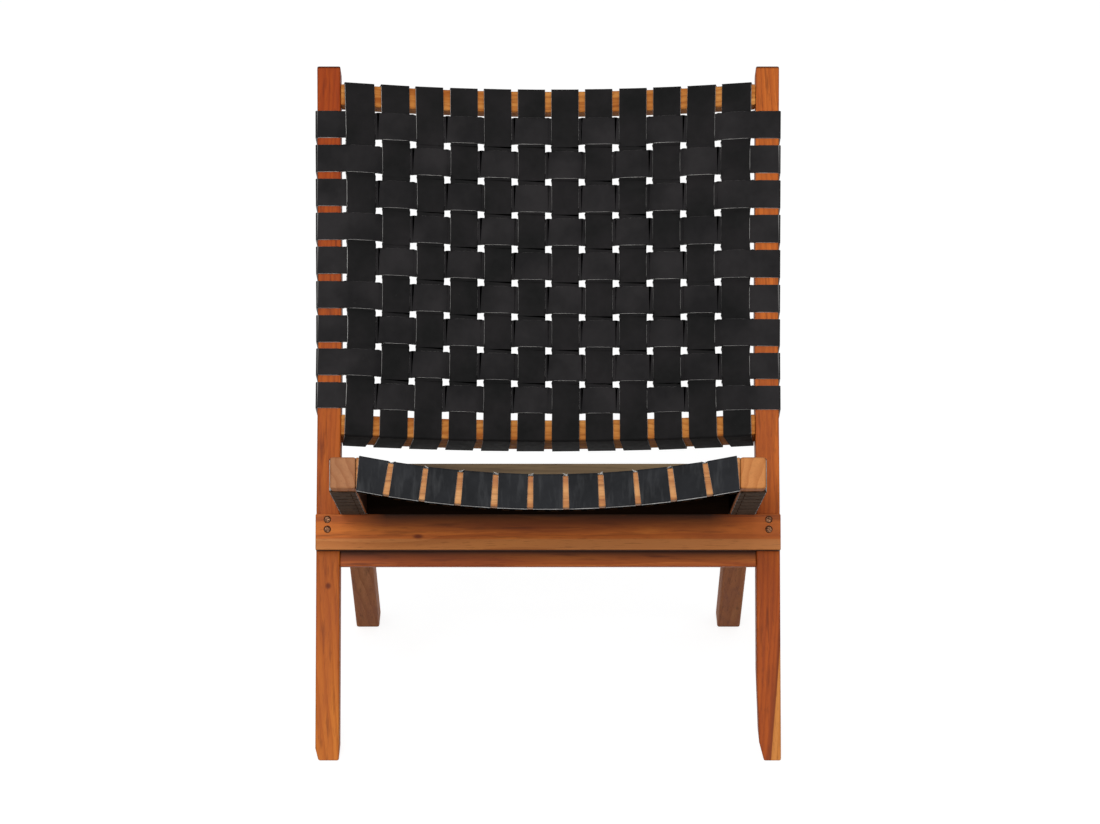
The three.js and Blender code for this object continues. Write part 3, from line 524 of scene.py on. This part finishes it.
def sides_of_strap(piece, width_axis):
    """Gives the grain side, the cut edges and the flesh side of a strap their material numbers.

    Returns, for each end of the strap, its middle, the way it points and the way its grain side faces.
    """
    shape = bmesh.from_edit_mesh(piece.data)

    def crosses(edge):
        run = edge.verts[1].co - edge.verts[0].co
        return run.length > SHORTEST_CROSS_EDGE and abs(run.normalized().dot(width_axis)) > ALIGNED

    cross_edges = {edge for edge in shape.edges if crosses(edge)}
    tips = []
    for face in shape.faces:
        crossing = [edge for edge in face.edges if edge in cross_edges]
        others = [edge.calc_length() for edge in face.edges if edge not in cross_edges]
        if len(crossing) == 2 and max(others) < THICKEST_EDGE:
            tips.append(face)
    broad = {face for face in shape.faces
             if face not in tips and any(edge in cross_edges for edge in face.edges)}
    for face in shape.faces:
        face.material_index = CUT
    sides = []
    tip = tips[0]
    for edge in (edge for edge in tip.edges if edge in cross_edges):
        side = {face for face in edge.link_faces if face in broad}
        reached = list(side)
        while reached:
            face = reached.pop()
            for next_edge in face.edges:
                if next_edge in cross_edges:
                    for neighbour in next_edge.link_faces:
                        if neighbour in broad and neighbour not in side:
                            side.add(neighbour)
                            reached.append(neighbour)
        sides.append(side)
    # the grain side is the outer one, so it is the longer way round the rails
    sides.sort(key=lambda side: sum(face.calc_area() for face in side))
    flesh, grain = sides
    for face in flesh:
        face.material_index = FLESH
    for face in grain:
        face.material_index = GRAIN
    ends = []
    for tip in tips:
        neighbours = [face for edge in tip.edges for face in edge.link_faces if face in grain]
        ends.append((tip.calc_center_median(), tip.normal.copy(), neighbours[0].normal.copy()))
    bmesh.update_edit_mesh(piece.data)
    return ends


def bend_between(side, least, most):
    """A test for the bends of one side of a strap, by the angle that they turn through."""
    def wanted(edge):
        marks = {face.material_index for face in edge.link_faces}
        return marks == {side} and math.radians(least) < edge.calc_face_angle() < math.radians(most)

    return wanted


def round_strap(piece, lit_side):
    """Rounds the bends and then the cut edges of a strap whose sides have their material numbers."""
    for side, turn, rounding, segments in (
            (GRAIN, WEAVE_TURN, WEAVE_BEND, 2), (FLESH, WEAVE_TURN, WEAVE_BEND, 2),
            (GRAIN, WRAP_TURN, OUTER_BEND, 4), (FLESH, WRAP_TURN, INNER_BEND, 4)):
        select_edges(piece, bend_between(side, *turn))
        bevel(rounding, segments)

    def lit_edge(edge):
        marks = {face.material_index for face in edge.link_faces}
        faces_side = any(face.normal.dot(lit_side) > FACING for face in edge.link_faces)
        return marks == {GRAIN, CUT} and faces_side

    def cut_edge(edge):
        marks = {face.material_index for face in edge.link_faces}
        return len(marks) == 2 and CUT in marks and edge.calc_face_angle() > SQUARE_CUT

    # the broader pale cut on the edge towards the light is a painted highlight
    select_edges(piece, lit_edge)
    bevel(LIT_EDGE_CUT, 2, material=CUT)
    select_edges(piece, cut_edge)
    bevel(CUT_EDGE_ROUNDING, 2, material=CUT)


def wander_sideways(piece, width_axis, seed, inwards):
    """Lets a strap wander sideways, as hand-laid straps do, and an outermost one only inwards."""
    for vertex in piece.data.vertices:
        run = vertex.co - width_axis * vertex.co.dot(width_axis)
        drift = noise.noise(Vector((run.x * SWAY_WAVES, run.y * SWAY_WAVES + seed * NEXT_STRAP,
                                    run.z * SWAY_WAVES)))
        sway = drift * SWAY * SWAY_PEAK
        vertex.co += width_axis * (inwards * abs(sway) if inwards else sway)


def laid_strap(row, name, index, body, width_axis, materials, seed, inwards=0):
    """Makes one strap of a row, and returns it with its two ends."""
    number = f"{index + 1:02d}"
    piece = merged_copy(f"{row}_{number}", f"{name}_{number}")
    bpy.ops.mesh.tris_convert_to_quads(face_threshold=FLAT_QUAD, shape_threshold=QUAD_SHAPE)
    ends = sides_of_strap(piece, width_axis)
    # the edge towards the light takes the painted highlight
    round_strap(piece, -width_axis)
    finish_mesh(piece, materials, STRAP_SMOOTHNESS)
    wander_sideways(piece, width_axis, seed, inwards)
    stands_for(piece, f"{row}_{number}", body)
    return piece, ends


def turn_out(piece, wanted, mark):
    """Gives the polygons that the test finds another of the piece's materials."""
    for polygon in piece.data.polygons:
        if wanted(polygon):
            polygon.material_index = mark


# The rows sag a little between the two rails, most of all on the right, and the uprights draw together.
SAG = (0.0025, 0.0023, 0.0029)  # at the middle of the chair, more to the right, and more to both sides
SAG_POWERS = (1.5, 0.6)  # of the height left up to the top rail, and of the height above the low rail
SAG_UNIT = 0.225  # where the product of these powers reaches it, a strap has sagged by the full amount
DRAW = (0.0005, 0.0024)  # to the right at the middle, and inwards at the sides
DRAW_POWER = 0.6
POST_MARGIN = 0.0085
top_rail_bottom = -reach("back_top_rail", -UP_THE_BACK)


def settle(mesh):
    """Moves a mesh within the plane of the back as the whole weave has settled in use."""
    for vertex in mesh.vertices:
        height = (vertex.co.dot(UP_THE_BACK) - low_rail_top) / (top_rail_bottom - low_rail_top)
        if 0 < height < 1:
            slack = (4 * height * (1 - height)) ** DRAW_POWER
            fall = (1 - height) ** SAG_POWERS[0] * height ** SAG_POWERS[1] / SAG_UNIT
            side = max(-1, min(1, vertex.co.x / POST_INNER))
            drop = SAG[0] + SAG[1] * side + SAG[2] * side * side
            beside_post = max(0, min(1, (POST_INNER - abs(vertex.co.x)) / POST_MARGIN))
            vertex.co -= UP_THE_BACK * drop * fall
            vertex.co.x += (DRAW[0] - DRAW[1] * side) * slack * beside_post
    spread(mesh)


back_grain = glazed_grain("black_glazed_cowhide_uprights", "#121212", "#1e1c1d", 0.74)
level_grain = glazed_grain("black_glazed_cowhide_levels", "#191819", "#282627", 0.74)
# a pale grey for the painted highlight where the level straps turn round the posts
bend_highlight_paint = glazed_grain("painted_highlight_at_the_bends", "#5c5b5a", "#7c7b7a", 0.7)
cut_fibre = raw_leather("raw_cut_edge_of_hide", "#7b7a79", "#cbc9c6", 0.0012)
flesh_side = raw_leather("flesh_side_of_hide", "#1d1a19", "#3a3532", 0.0025)
UPRIGHT_COUNT = 12

back_ends = []
for index in range(UPRIGHT_COUNT):
    inwards = {0: 1, UPRIGHT_COUNT - 1: -1}.get(index, 0)
    strap, ends = laid_strap("back_upright_strap", "upright_strap", index, "back_frame", ACROSS,
                             (back_grain, cut_fibre, flesh_side), index, inwards)
    settle(strap.data)
    slant_underneath(strap.data)
    back_ends += ends


# Level straps of the back:
# The same hide, laid across the back. Each wraps round both posts and is tacked behind them. A painted
# highlight runs in a line where the strap turns round the post.

LEVEL_COUNT = 9
LEVEL_SEED = 20
BEND_HIGHLIGHT = 3
ROUND_THE_POST = 0.285
BEND_HIGHLIGHT_SLOPE = (0.95, 0.995)  # how squarely the painted highlight faces to the front

for index in range(LEVEL_COUNT):
    strap, ends = laid_strap("back_level_strap", "level_strap", index, "back_frame", UP_THE_BACK,
                             (level_grain, cut_fibre, flesh_side, bend_highlight_paint), LEVEL_SEED + index)
    # the painted highlight along the bend round the post
    turn_out(strap, lambda face: face.material_index == GRAIN and abs(face.center.x) > ROUND_THE_POST
             and BEND_HIGHLIGHT_SLOPE[0] < face.normal.dot(FRONT_OF_BACK) < BEND_HIGHLIGHT_SLOPE[1], BEND_HIGHLIGHT)
    settle(strap.data)
    back_ends += ends


# Straps of the seat:
# The seat's straps are cut from a duller piece of hide; their slightly greyer, bluer tone is a painted
# sheen. The long ones wrap round the front and rear rails, and the cross ones round the side rails, with
# their ends tacked underneath.

LONG_COUNT = 11
LONG_SEED = 40
CROSS_COUNT = 7
CROSS_SEED = 60

UNDER_THE_SEAT = DOWN_THE_LEGS
# places along the seat, measured towards its front
SEAT_MIDDLE = 0.3
FRONT_ROUNDING = 0.33
FRONT_TAILS = 0.4
FRONT_BEND = 0.5262
# places below the seat, measured square to it
SIDE_UNDERSIDE = -0.2505
UNDER_FRONT_RAIL = -0.262
UNDER_REAR_RAIL = -0.2545
REAR_BEND = -0.2555
FRONT_CRACKS = (0.66, 0.9)  # how far down the cracked line under the front rail faces
SIDE_CRACKS = (0.6, 0.9)
LEVEL_FACE = 0.5

# the seat grain's lighter, bluer grey than the back's is a painted sheen
seat_grain_with_painted_sheen = glazed_grain("black_glazed_cowhide_seat_with_painted_sheen", "#18191b", "#242528", 0.74, rubs="#434446")
brown_flesh = raw_leather("brown_flesh_side_of_seat_hide", "#33271f", "#5b493c", 0.0025)
# a near-black, matt leather for the tails under the rails, as painted shade
tail_leather_painted_black = raw_leather("tail_of_hide_painted_black_for_shade", "#050403", "#0c0908", 0.0025, 0)
seat_leathers = (seat_grain_with_painted_sheen, cut_fibre, brown_flesh, tail_leather_painted_black)
BLACK_TAIL = len(seat_leathers) - 1


def is_tail(face):
    """A test for what lies under the front or the rear rail, behind the front bend."""
    forwards, down = face.center.dot(FRONT_OF_SEAT), face.center.dot(UNDER_THE_SEAT)
    if forwards < SEAT_MIDDLE:
        return down > UNDER_REAR_RAIL
    return FRONT_TAILS < forwards < FRONT_BEND and down > UNDER_FRONT_RAIL


def follow_rear_rail(mesh):
    """Moves what lies under the rear rail down with the underside of the rail."""
    for vertex in mesh.vertices:
        if (vertex.co.dot(FRONT_OF_SEAT) < SEAT_MIDDLE and vertex.co.dot(UNDER_THE_SEAT) > REAR_BEND
                and abs(vertex.co.x) < SEAT_SIDE_INNER):
            vertex.co += UNDER_THE_SEAT * REAR_RAIL_DROP


seat_ends = []
for index in range(LONG_COUNT):
    inwards = {0: 1, LONG_COUNT - 1: -1}.get(index, 0)
    strap, ends = laid_strap("seat_long_strap", "long_seat_strap", index, "seat_frame", ACROSS,
                             seat_leathers, LONG_SEED + index, inwards)
    # the tails under the rails are painted near black and matt, as painted shade; along the lower front bend
    # the grain has cracked and shows the paler fibre under it
    turn_out(strap, is_tail, BLACK_TAIL)
    turn_out(strap, lambda face: face.material_index == GRAIN
             and face.center.dot(FRONT_OF_SEAT) > FRONT_ROUNDING
             and FRONT_CRACKS[0] < face.normal.dot(UNDER_THE_SEAT) < FRONT_CRACKS[1], CUT)
    follow_rear_rail(strap.data)
    seat_ends += ends
for index in range(CROSS_COUNT):
    strap, ends = laid_strap("seat_cross_strap", "cross_seat_strap", index, "seat_frame", -FRONT_OF_SEAT,
                             seat_leathers, CROSS_SEED + index)
    # the glaze of the tails has been sanded off, and has cracked along the outer bends
    turn_out(strap, lambda face: abs(face.center.x) > SEAT_SIDE_INNER
             and face.center.dot(UNDER_THE_SEAT) > SIDE_UNDERSIDE
             and abs(face.normal.x) < LEVEL_FACE, FLESH)
    turn_out(strap, lambda face: face.material_index == GRAIN and abs(face.center.x) > SEAT_SIDE_INNER
             and SIDE_CRACKS[0] < face.normal.dot(UNDER_THE_SEAT) < SIDE_CRACKS[1], CUT)
    seat_ends += ends


# Staples:
# Two flat galvanised wire staples hold each strap end to the wood. They are driven across the strap
# with an air gun, so that the crown bites a little into the leather.

STAPLE_CROWN = 0.0095
STAPLE_WIRE = 0.0011
STAPLE_FLATNESS = 0.7
STAPLE_LEG = 0.0016
STAPLE_ARRIS = 0.00025
STAPLE_LIFT = 0.00115
STAPLE_FROM_END = 0.006
STAPLE_SPACING = 0.016
SHARP = math.radians(60)


def staple_wire(name, dark, light, metallic, gloss):
    """Steel wire, either galvanised and a mottled light grey, or matt dark brown as painted shade."""
    material, tree, place = new_material(name)
    spangle = add_noise(tree, place, scale=700, detail=2).outputs["Fac"]
    colour = add_mix(tree, spangle, linear(dark), linear(light))
    dulled = add_range(tree, spangle, (0.3, 0.7), (gloss, gloss + 0.2))
    add_surface(tree, {"Base Color": colour, "Metallic": metallic, "Roughness": dulled,
                       "Specular IOR Level": 0.5 * metallic,
                       "Normal": add_bump(tree, spangle, 0.2, 0.0001)})
    return material


def select_faces(piece, wanted):
    bpy.ops.mesh.select_mode(type="FACE")
    bpy.ops.mesh.select_all(action="DESELECT")
    shape = bmesh.from_edit_mesh(piece.data)
    for face in shape.faces:
        if wanted(face):
            face.select_set(True)
    bmesh.update_edit_mesh(piece.data)


def draw_down(length):
    """Draws the selected faces down by a length."""
    bpy.ops.mesh.extrude_region_move(TRANSFORM_OT_translate={"value": (0, 0, -length)})


def turn_faces_out():
    """Opens the active piece in edit mode and turns its faces outwards."""
    bpy.ops.object.mode_set(mode="EDIT")
    bpy.ops.mesh.select_all(action="SELECT")
    bpy.ops.mesh.normals_make_consistent(inside=False)


def first_staple():
    """A bent wire with its crown along X, its legs down and its crown's top 0.4 mm over the origin."""
    bpy.ops.object.select_all(action="DESELECT")
    bpy.ops.mesh.primitive_cube_add(size=1, location=(0, 0, 0), scale=(
        STAPLE_CROWN, STAPLE_WIRE, STAPLE_WIRE * STAPLE_FLATNESS))
    staple = bpy.context.active_object
    bpy.ops.object.transform_apply(location=True, rotation=True, scale=True)
    bpy.ops.object.mode_set(mode="EDIT")
    # the crown's ends are cut off as short blocks, and the legs are drawn down from them
    leg_inside = STAPLE_CROWN / 2 - STAPLE_WIRE
    for end in (-1, 1):
        bpy.ops.mesh.select_all(action="SELECT")
        bpy.ops.mesh.bisect(plane_co=(end * leg_inside, 0, 0), plane_no=(1, 0, 0))
    select_faces(staple, lambda face: face.normal.z < -ALIGNED
                 and abs(face.calc_center_median().x) > leg_inside)
    draw_down(STAPLE_LEG)
    select_edges(staple, lambda edge: edge.calc_face_angle() > SHARP
                 and max(vertex.co.z for vertex in edge.verts) > 0)
    bpy.ops.mesh.bevel(offset=STAPLE_ARRIS, segments=1, clamp_overlap=True)
    bpy.ops.object.mode_set(mode="OBJECT")
    return staple


staple = first_staple()
# the staples of the back are still bright; those under the seat are a matt dark brown as painted shade
bright_wire = staple_wire("galvanised_steel_wire", "#8f9194", "#c3c5c8", 1, 0.28)
wire_painted_dark_for_shade = staple_wire("steel_wire_painted_dark_for_shade", "#24170f", "#4b3323", 0, 0.7)
for ends, name, body, wire, follow in (
        (back_ends, "back_staples", "back_frame", bright_wire, settle),
        (seat_ends, "seat_staples", "seat_frame", wire_painted_dark_for_shade, follow_rear_rail)):
    copies = []
    for middle, way, facing in ends:
        beside = way.cross(facing).normalized()
        turn = Matrix((beside, way, facing)).transposed().to_4x4()
        for side in (-1, 1):
            spot = middle - way * STAPLE_FROM_END + facing * STAPLE_LIFT + beside * side * STAPLE_SPACING / 2
            copy = new_piece(staple.data, name)
            copy.data.transform(Matrix.Translation(spot) @ turn)
            copies.append(copy)
    for copy in copies:
        copy.select_set(True)
    staples = copies[0]
    bpy.context.view_layer.objects.active = staples
    bpy.ops.object.join()
    staples.data.materials.append(wire)
    follow(staples.data)
    turn_faces_out()
    bpy.ops.object.mode_set(mode="OBJECT")
    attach(staples, body)
bpy.data.objects.remove(staple)


# Screws of the cross rail:
# Four round-headed steel screws with a cross slot, browned by rust, two at each end of the cross rail.
# Their heads stand in shallow counterbores.

RAIL_SCREW_HEAD = 0.0045
RAIL_SCREW_DOME = 0.0024
RAIL_SCREW_ROUNDING = 0.85  # as a share of the dome's height
RAIL_SCREW_SHANK = 0.0022
RAIL_SCREW_LENGTH = 0.0376
RAIL_SCREW_POINT = 0.1
CROSS_LENGTH = 0.0052
CROSS_WIDTH = 0.0011
CROSS_HEIGHT = 0.0024
LEFT_CROSS = 134  # degrees, where the screws came tight
RIGHT_CROSS = 165


def weathered_steel(name, dark, light, dullness):
    """Steel that has dulled and browned, rubbed brighter in patches, with a soft gloss."""
    material, tree, place = new_material(name)
    rubbing = add_noise(tree, place, scale=420, detail=4, roughness=0.6).outputs["Fac"]
    patches = add_range(tree, rubbing, (0.4, 0.65))
    satin = add_range(tree, rubbing, (0.3, 0.7), (dullness, dullness - 0.18))
    add_surface(tree, {"Base Color": add_mix(tree, patches, linear(dark), linear(light)), "Metallic": 1,
                       "Roughness": satin, "Normal": add_bump(tree, rubbing, 0.15, 0.0001)})
    return material


def cut_with(piece, cutters):
    for cutter in cutters:
        cutting = piece.modifiers.new("cut", "BOOLEAN")
        cutting.object = cutter
        cutting.operation = "DIFFERENCE"
        bpy.context.view_layer.objects.active = piece
        bpy.ops.object.modifier_apply(modifier=cutting.name)
        bpy.data.objects.remove(cutter)


def screw_head(sides, radius, height, rounding, segments, shank):
    """A head that stands on the origin, with the top of its shank selected on its underside."""
    bpy.ops.object.select_all(action="DESELECT")
    bpy.ops.mesh.primitive_cylinder_add(vertices=sides, radius=radius, depth=height,
                                        location=(0, 0, height / 2))
    screw = bpy.context.active_object
    bpy.ops.object.transform_apply(location=True, rotation=True, scale=True)
    bpy.ops.object.mode_set(mode="EDIT")
    select_edges(screw, lambda edge: min(vertex.co.z for vertex in edge.verts) > height * ALIGNED)
    bevel(rounding, segments)
    select_faces(screw, lambda face: face.normal.z < -ALIGNED)
    bpy.ops.mesh.inset(thickness=radius - shank)
    return screw


def first_rail_screw():
    """A screw whose head's seat is the origin, with its head towards +Z."""
    screw = screw_head(32, RAIL_SCREW_HEAD, RAIL_SCREW_DOME, RAIL_SCREW_DOME * RAIL_SCREW_ROUNDING, 5,
                       RAIL_SCREW_SHANK)
    draw_down(RAIL_SCREW_LENGTH - RAIL_SCREW_SHANK)
    draw_down(RAIL_SCREW_SHANK)
    bpy.ops.transform.resize(value=(RAIL_SCREW_POINT, RAIL_SCREW_POINT, 1))
    bpy.ops.object.mode_set(mode="OBJECT")
    slots = []
    for size in ((CROSS_LENGTH, CROSS_WIDTH, CROSS_HEIGHT), (CROSS_WIDTH, CROSS_LENGTH, CROSS_HEIGHT)):
        bpy.ops.mesh.primitive_cube_add(size=1, location=(0, 0, RAIL_SCREW_DOME), scale=size)
        slots.append(bpy.context.active_object)
    cut_with(screw, slots)
    return screw


def set_screw(pattern, node, name, place, steel, body):
    """Sets a copy of a screw in its place, where it stands for a CAD node."""
    screw = new_piece(pattern.data, name)
    screw.data.transform(place)
    turn_faces_out()
    finish_mesh(screw, (steel,))
    stands_for(screw, node, body)


screw_steel = weathered_steel("rusted_screw_steel", "#5a3a28", "#9a7156", 0.65)
rail_screw = first_rail_screw()
turn = Matrix((ACROSS, UP_THE_LEGS, FRONT_OF_SEAT)).transposed().to_4x4()
for side, cross_angle in (("left", LEFT_CROSS), ("right", RIGHT_CROSS)):
    for row in ("upper", "lower"):
        # the seat of the head lies below the front end of the screw by the height of the dome
        node = f"rail_screw_{side}_{row}"
        low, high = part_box(node)
        head_seat = reach(node, FRONT_OF_SEAT) - RAIL_SCREW_DOME
        head_ring = [vertex.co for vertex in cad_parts[node].data.vertices
                     if vertex.co.dot(FRONT_OF_SEAT) > head_seat - TOUCHING]
        height = (sum(head_ring, Vector()) / len(head_ring)).dot(UP_THE_LEGS)
        seat = Vector(((low.x + high.x) / 2, 0, 0)) + UP_THE_LEGS * height + FRONT_OF_SEAT * head_seat
        cross_turn = Matrix.Rotation(math.radians(cross_angle), 4, "Z")
        set_screw(rail_screw, node, f"cross_rail_screw_{side}_{row}",
                  Matrix.Translation(seat) @ turn @ cross_turn, screw_steel, "back_frame")
bpy.data.objects.remove(rail_screw)


# Pivot screws and washers:
# A steel shoulder screw with a hexagon socket turns in each post, flush in a counterbore, with its
# thread in the seat's side rail and a thick washer between the two frames.

PIVOT_HEAD = 0.0085
PIVOT_HEAD_HEIGHT = 0.005
PIVOT_HEAD_EASE = 0.0006
PIVOT_SHOULDER = 0.005
PIVOT_THREAD = 0.004
PIVOT_THREAD_LENGTH = 0.018
PIVOT_SOCKET = 0.003
WASHER_EASE = 0.0004


def first_pivot_screw(shoulder_length):
    """A shoulder screw whose head's seat is the origin, with its head towards +Z."""
    screw = screw_head(48, PIVOT_HEAD, PIVOT_HEAD_HEIGHT, PIVOT_HEAD_EASE, 3, PIVOT_SHOULDER)
    draw_down(shoulder_length)
    bpy.ops.mesh.inset(thickness=PIVOT_SHOULDER - PIVOT_THREAD)
    draw_down(PIVOT_THREAD_LENGTH)
    bpy.ops.object.mode_set(mode="OBJECT")
    bpy.ops.mesh.primitive_cylinder_add(vertices=6, radius=PIVOT_SOCKET, depth=PIVOT_SOCKET * 2,
                                        location=(0, 0, PIVOT_HEAD_HEIGHT))
    cut_with(screw, [bpy.context.active_object])
    return screw


pivot_steel = weathered_steel("satin_zinc_plated_steel", "#8b857b", "#b9b3a8", 0.5)
left_low, left_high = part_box("pivot_screw_left")
pivot_centre = (left_low + left_high) / 2
shoulder_end = left_high.x - PIVOT_THREAD_LENGTH
head_seat = left_low.x + PIVOT_HEAD_HEIGHT
pivot_screw = first_pivot_screw(shoulder_end - head_seat)
for node, side in (("pivot_screw_left", -1), ("pivot_screw_right", 1)):
    turn = Matrix.Rotation(side * math.pi / 2, 4, "Y")
    seat = Vector((side * -head_seat, pivot_centre.y, pivot_centre.z))
    set_screw(pivot_screw, node, node.replace("screw", "shoulder_screw"), Matrix.Translation(seat) @ turn,
              pivot_steel, "seat_frame")
bpy.data.objects.remove(pivot_screw)

for node in ("pivot_washer_left", "pivot_washer_right"):
    washer = merged_copy(node, node.replace("washer", "spacer"))
    bpy.ops.mesh.dissolve_limited(angle_limit=SAME_FLAT)
    select_edges(washer, lambda edge: edge.calc_face_angle() > SHARP)
    bevel(WASHER_EASE, 2)
    finish_mesh(washer, (pivot_steel,))
    stands_for(washer, node, "seat_frame")


# Studio:
# A pale floor that reaches past the picture on all sides, one large soft lamp above and in front, a
# weaker one at the side, and a pale room all round.

FLOOR_SIZE = 40
FLOOR_LOW = -0.0005
PAPER_LIFT = 0.85
ROOM_LIGHT = 0.42


def studio_floor():
    """Matt pale paper that shows white to the camera, and keeps the chair's soft shadow."""
    material, tree, place = new_material("white_paper_floor")
    tooth = add_noise(tree, place, scale=30, detail=2)
    paper = add_mix(tree, tooth.outputs["Fac"], linear("#9c9c9c"), linear("#a2a2a2"))
    rays = add_node(tree, "ShaderNodeLightPath").outputs
    seen = add_math(tree, "MAXIMUM", rays["Is Camera Ray"], rays["Is Glossy Ray"])
    shown = add_math(tree, "MAXIMUM", seen, rays["Is Transmission Ray"])
    add_surface(tree, {"Base Color": paper, "Roughness": 0.95, "Specular IOR Level": 0,
                       "Emission Color": (1, 1, 1, 1),
                       "Emission Strength": add_math(tree, "MULTIPLY", shown, PAPER_LIFT)})
    return material


bpy.ops.object.select_all(action="DESELECT")
bpy.ops.mesh.primitive_plane_add(size=FLOOR_SIZE, location=(0, 0, FLOOR_LOW))
floor = bpy.context.active_object
floor.name = "studio_floor"
bpy.ops.object.transform_apply(location=True, rotation=True, scale=True)
floor.data.materials.append(studio_floor())

world = bpy.data.worlds.new("pale_room")
bpy.context.scene.world = world
world.use_nodes = True
world.node_tree.nodes.clear()
room_rays = add_node(world.node_tree, "ShaderNodeLightPath")
room_shown = add_range(world.node_tree, room_rays.outputs["Is Camera Ray"], (0, 1), (ROOM_LIGHT, 1))
room = add_node(world.node_tree, "ShaderNodeBackground", {"Color": (1, 1, 1, 1), "Strength": room_shown})
add_node(world.node_tree, "ShaderNodeOutputWorld", {"Surface": room.outputs["Background"]})

AIM = Vector((0, 0, 0.4))
for name, spot, size, power in (("key_softbox", (-0.6, -3.7, 2.3), 2.2, 116),
                                ("fill_softbox", (2.4, -3.2, 1.4), 2.0, 22)):
    bpy.ops.object.light_add(type="AREA", location=spot)
    lamp = bpy.context.active_object
    lamp.name = name
    lamp.data.shape = "SQUARE"
    lamp.data.size = size
    lamp.data.energy = power
    lamp.rotation_euler = (AIM - Vector(spot)).to_track_quat("-Z", "Y").to_euler()


# Camera:
# A long lens, a little above the chair and far off, as the photograph shows it.

CAMERA_SPOT = (0.0024, -5.9387, 2.2895)
CAMERA_TILT = math.radians(72.467)
LENS = 160.27
SENSOR_WIDTH = 36
FARTHEST_SIGHT = 100

camera_data = bpy.data.cameras.new("photo_camera")
camera_data.lens = LENS
camera_data.sensor_width = SENSOR_WIDTH
camera_data.clip_end = FARTHEST_SIGHT
camera = bpy.data.objects.new("photo_camera", camera_data)
bpy.context.collection.objects.link(camera)
camera.location = CAMERA_SPOT
camera.rotation_euler = (CAMERA_TILT, 0, 0)
bpy.context.scene.camera = camera
bpy.context.scene.view_settings.view_transform = "Standard"
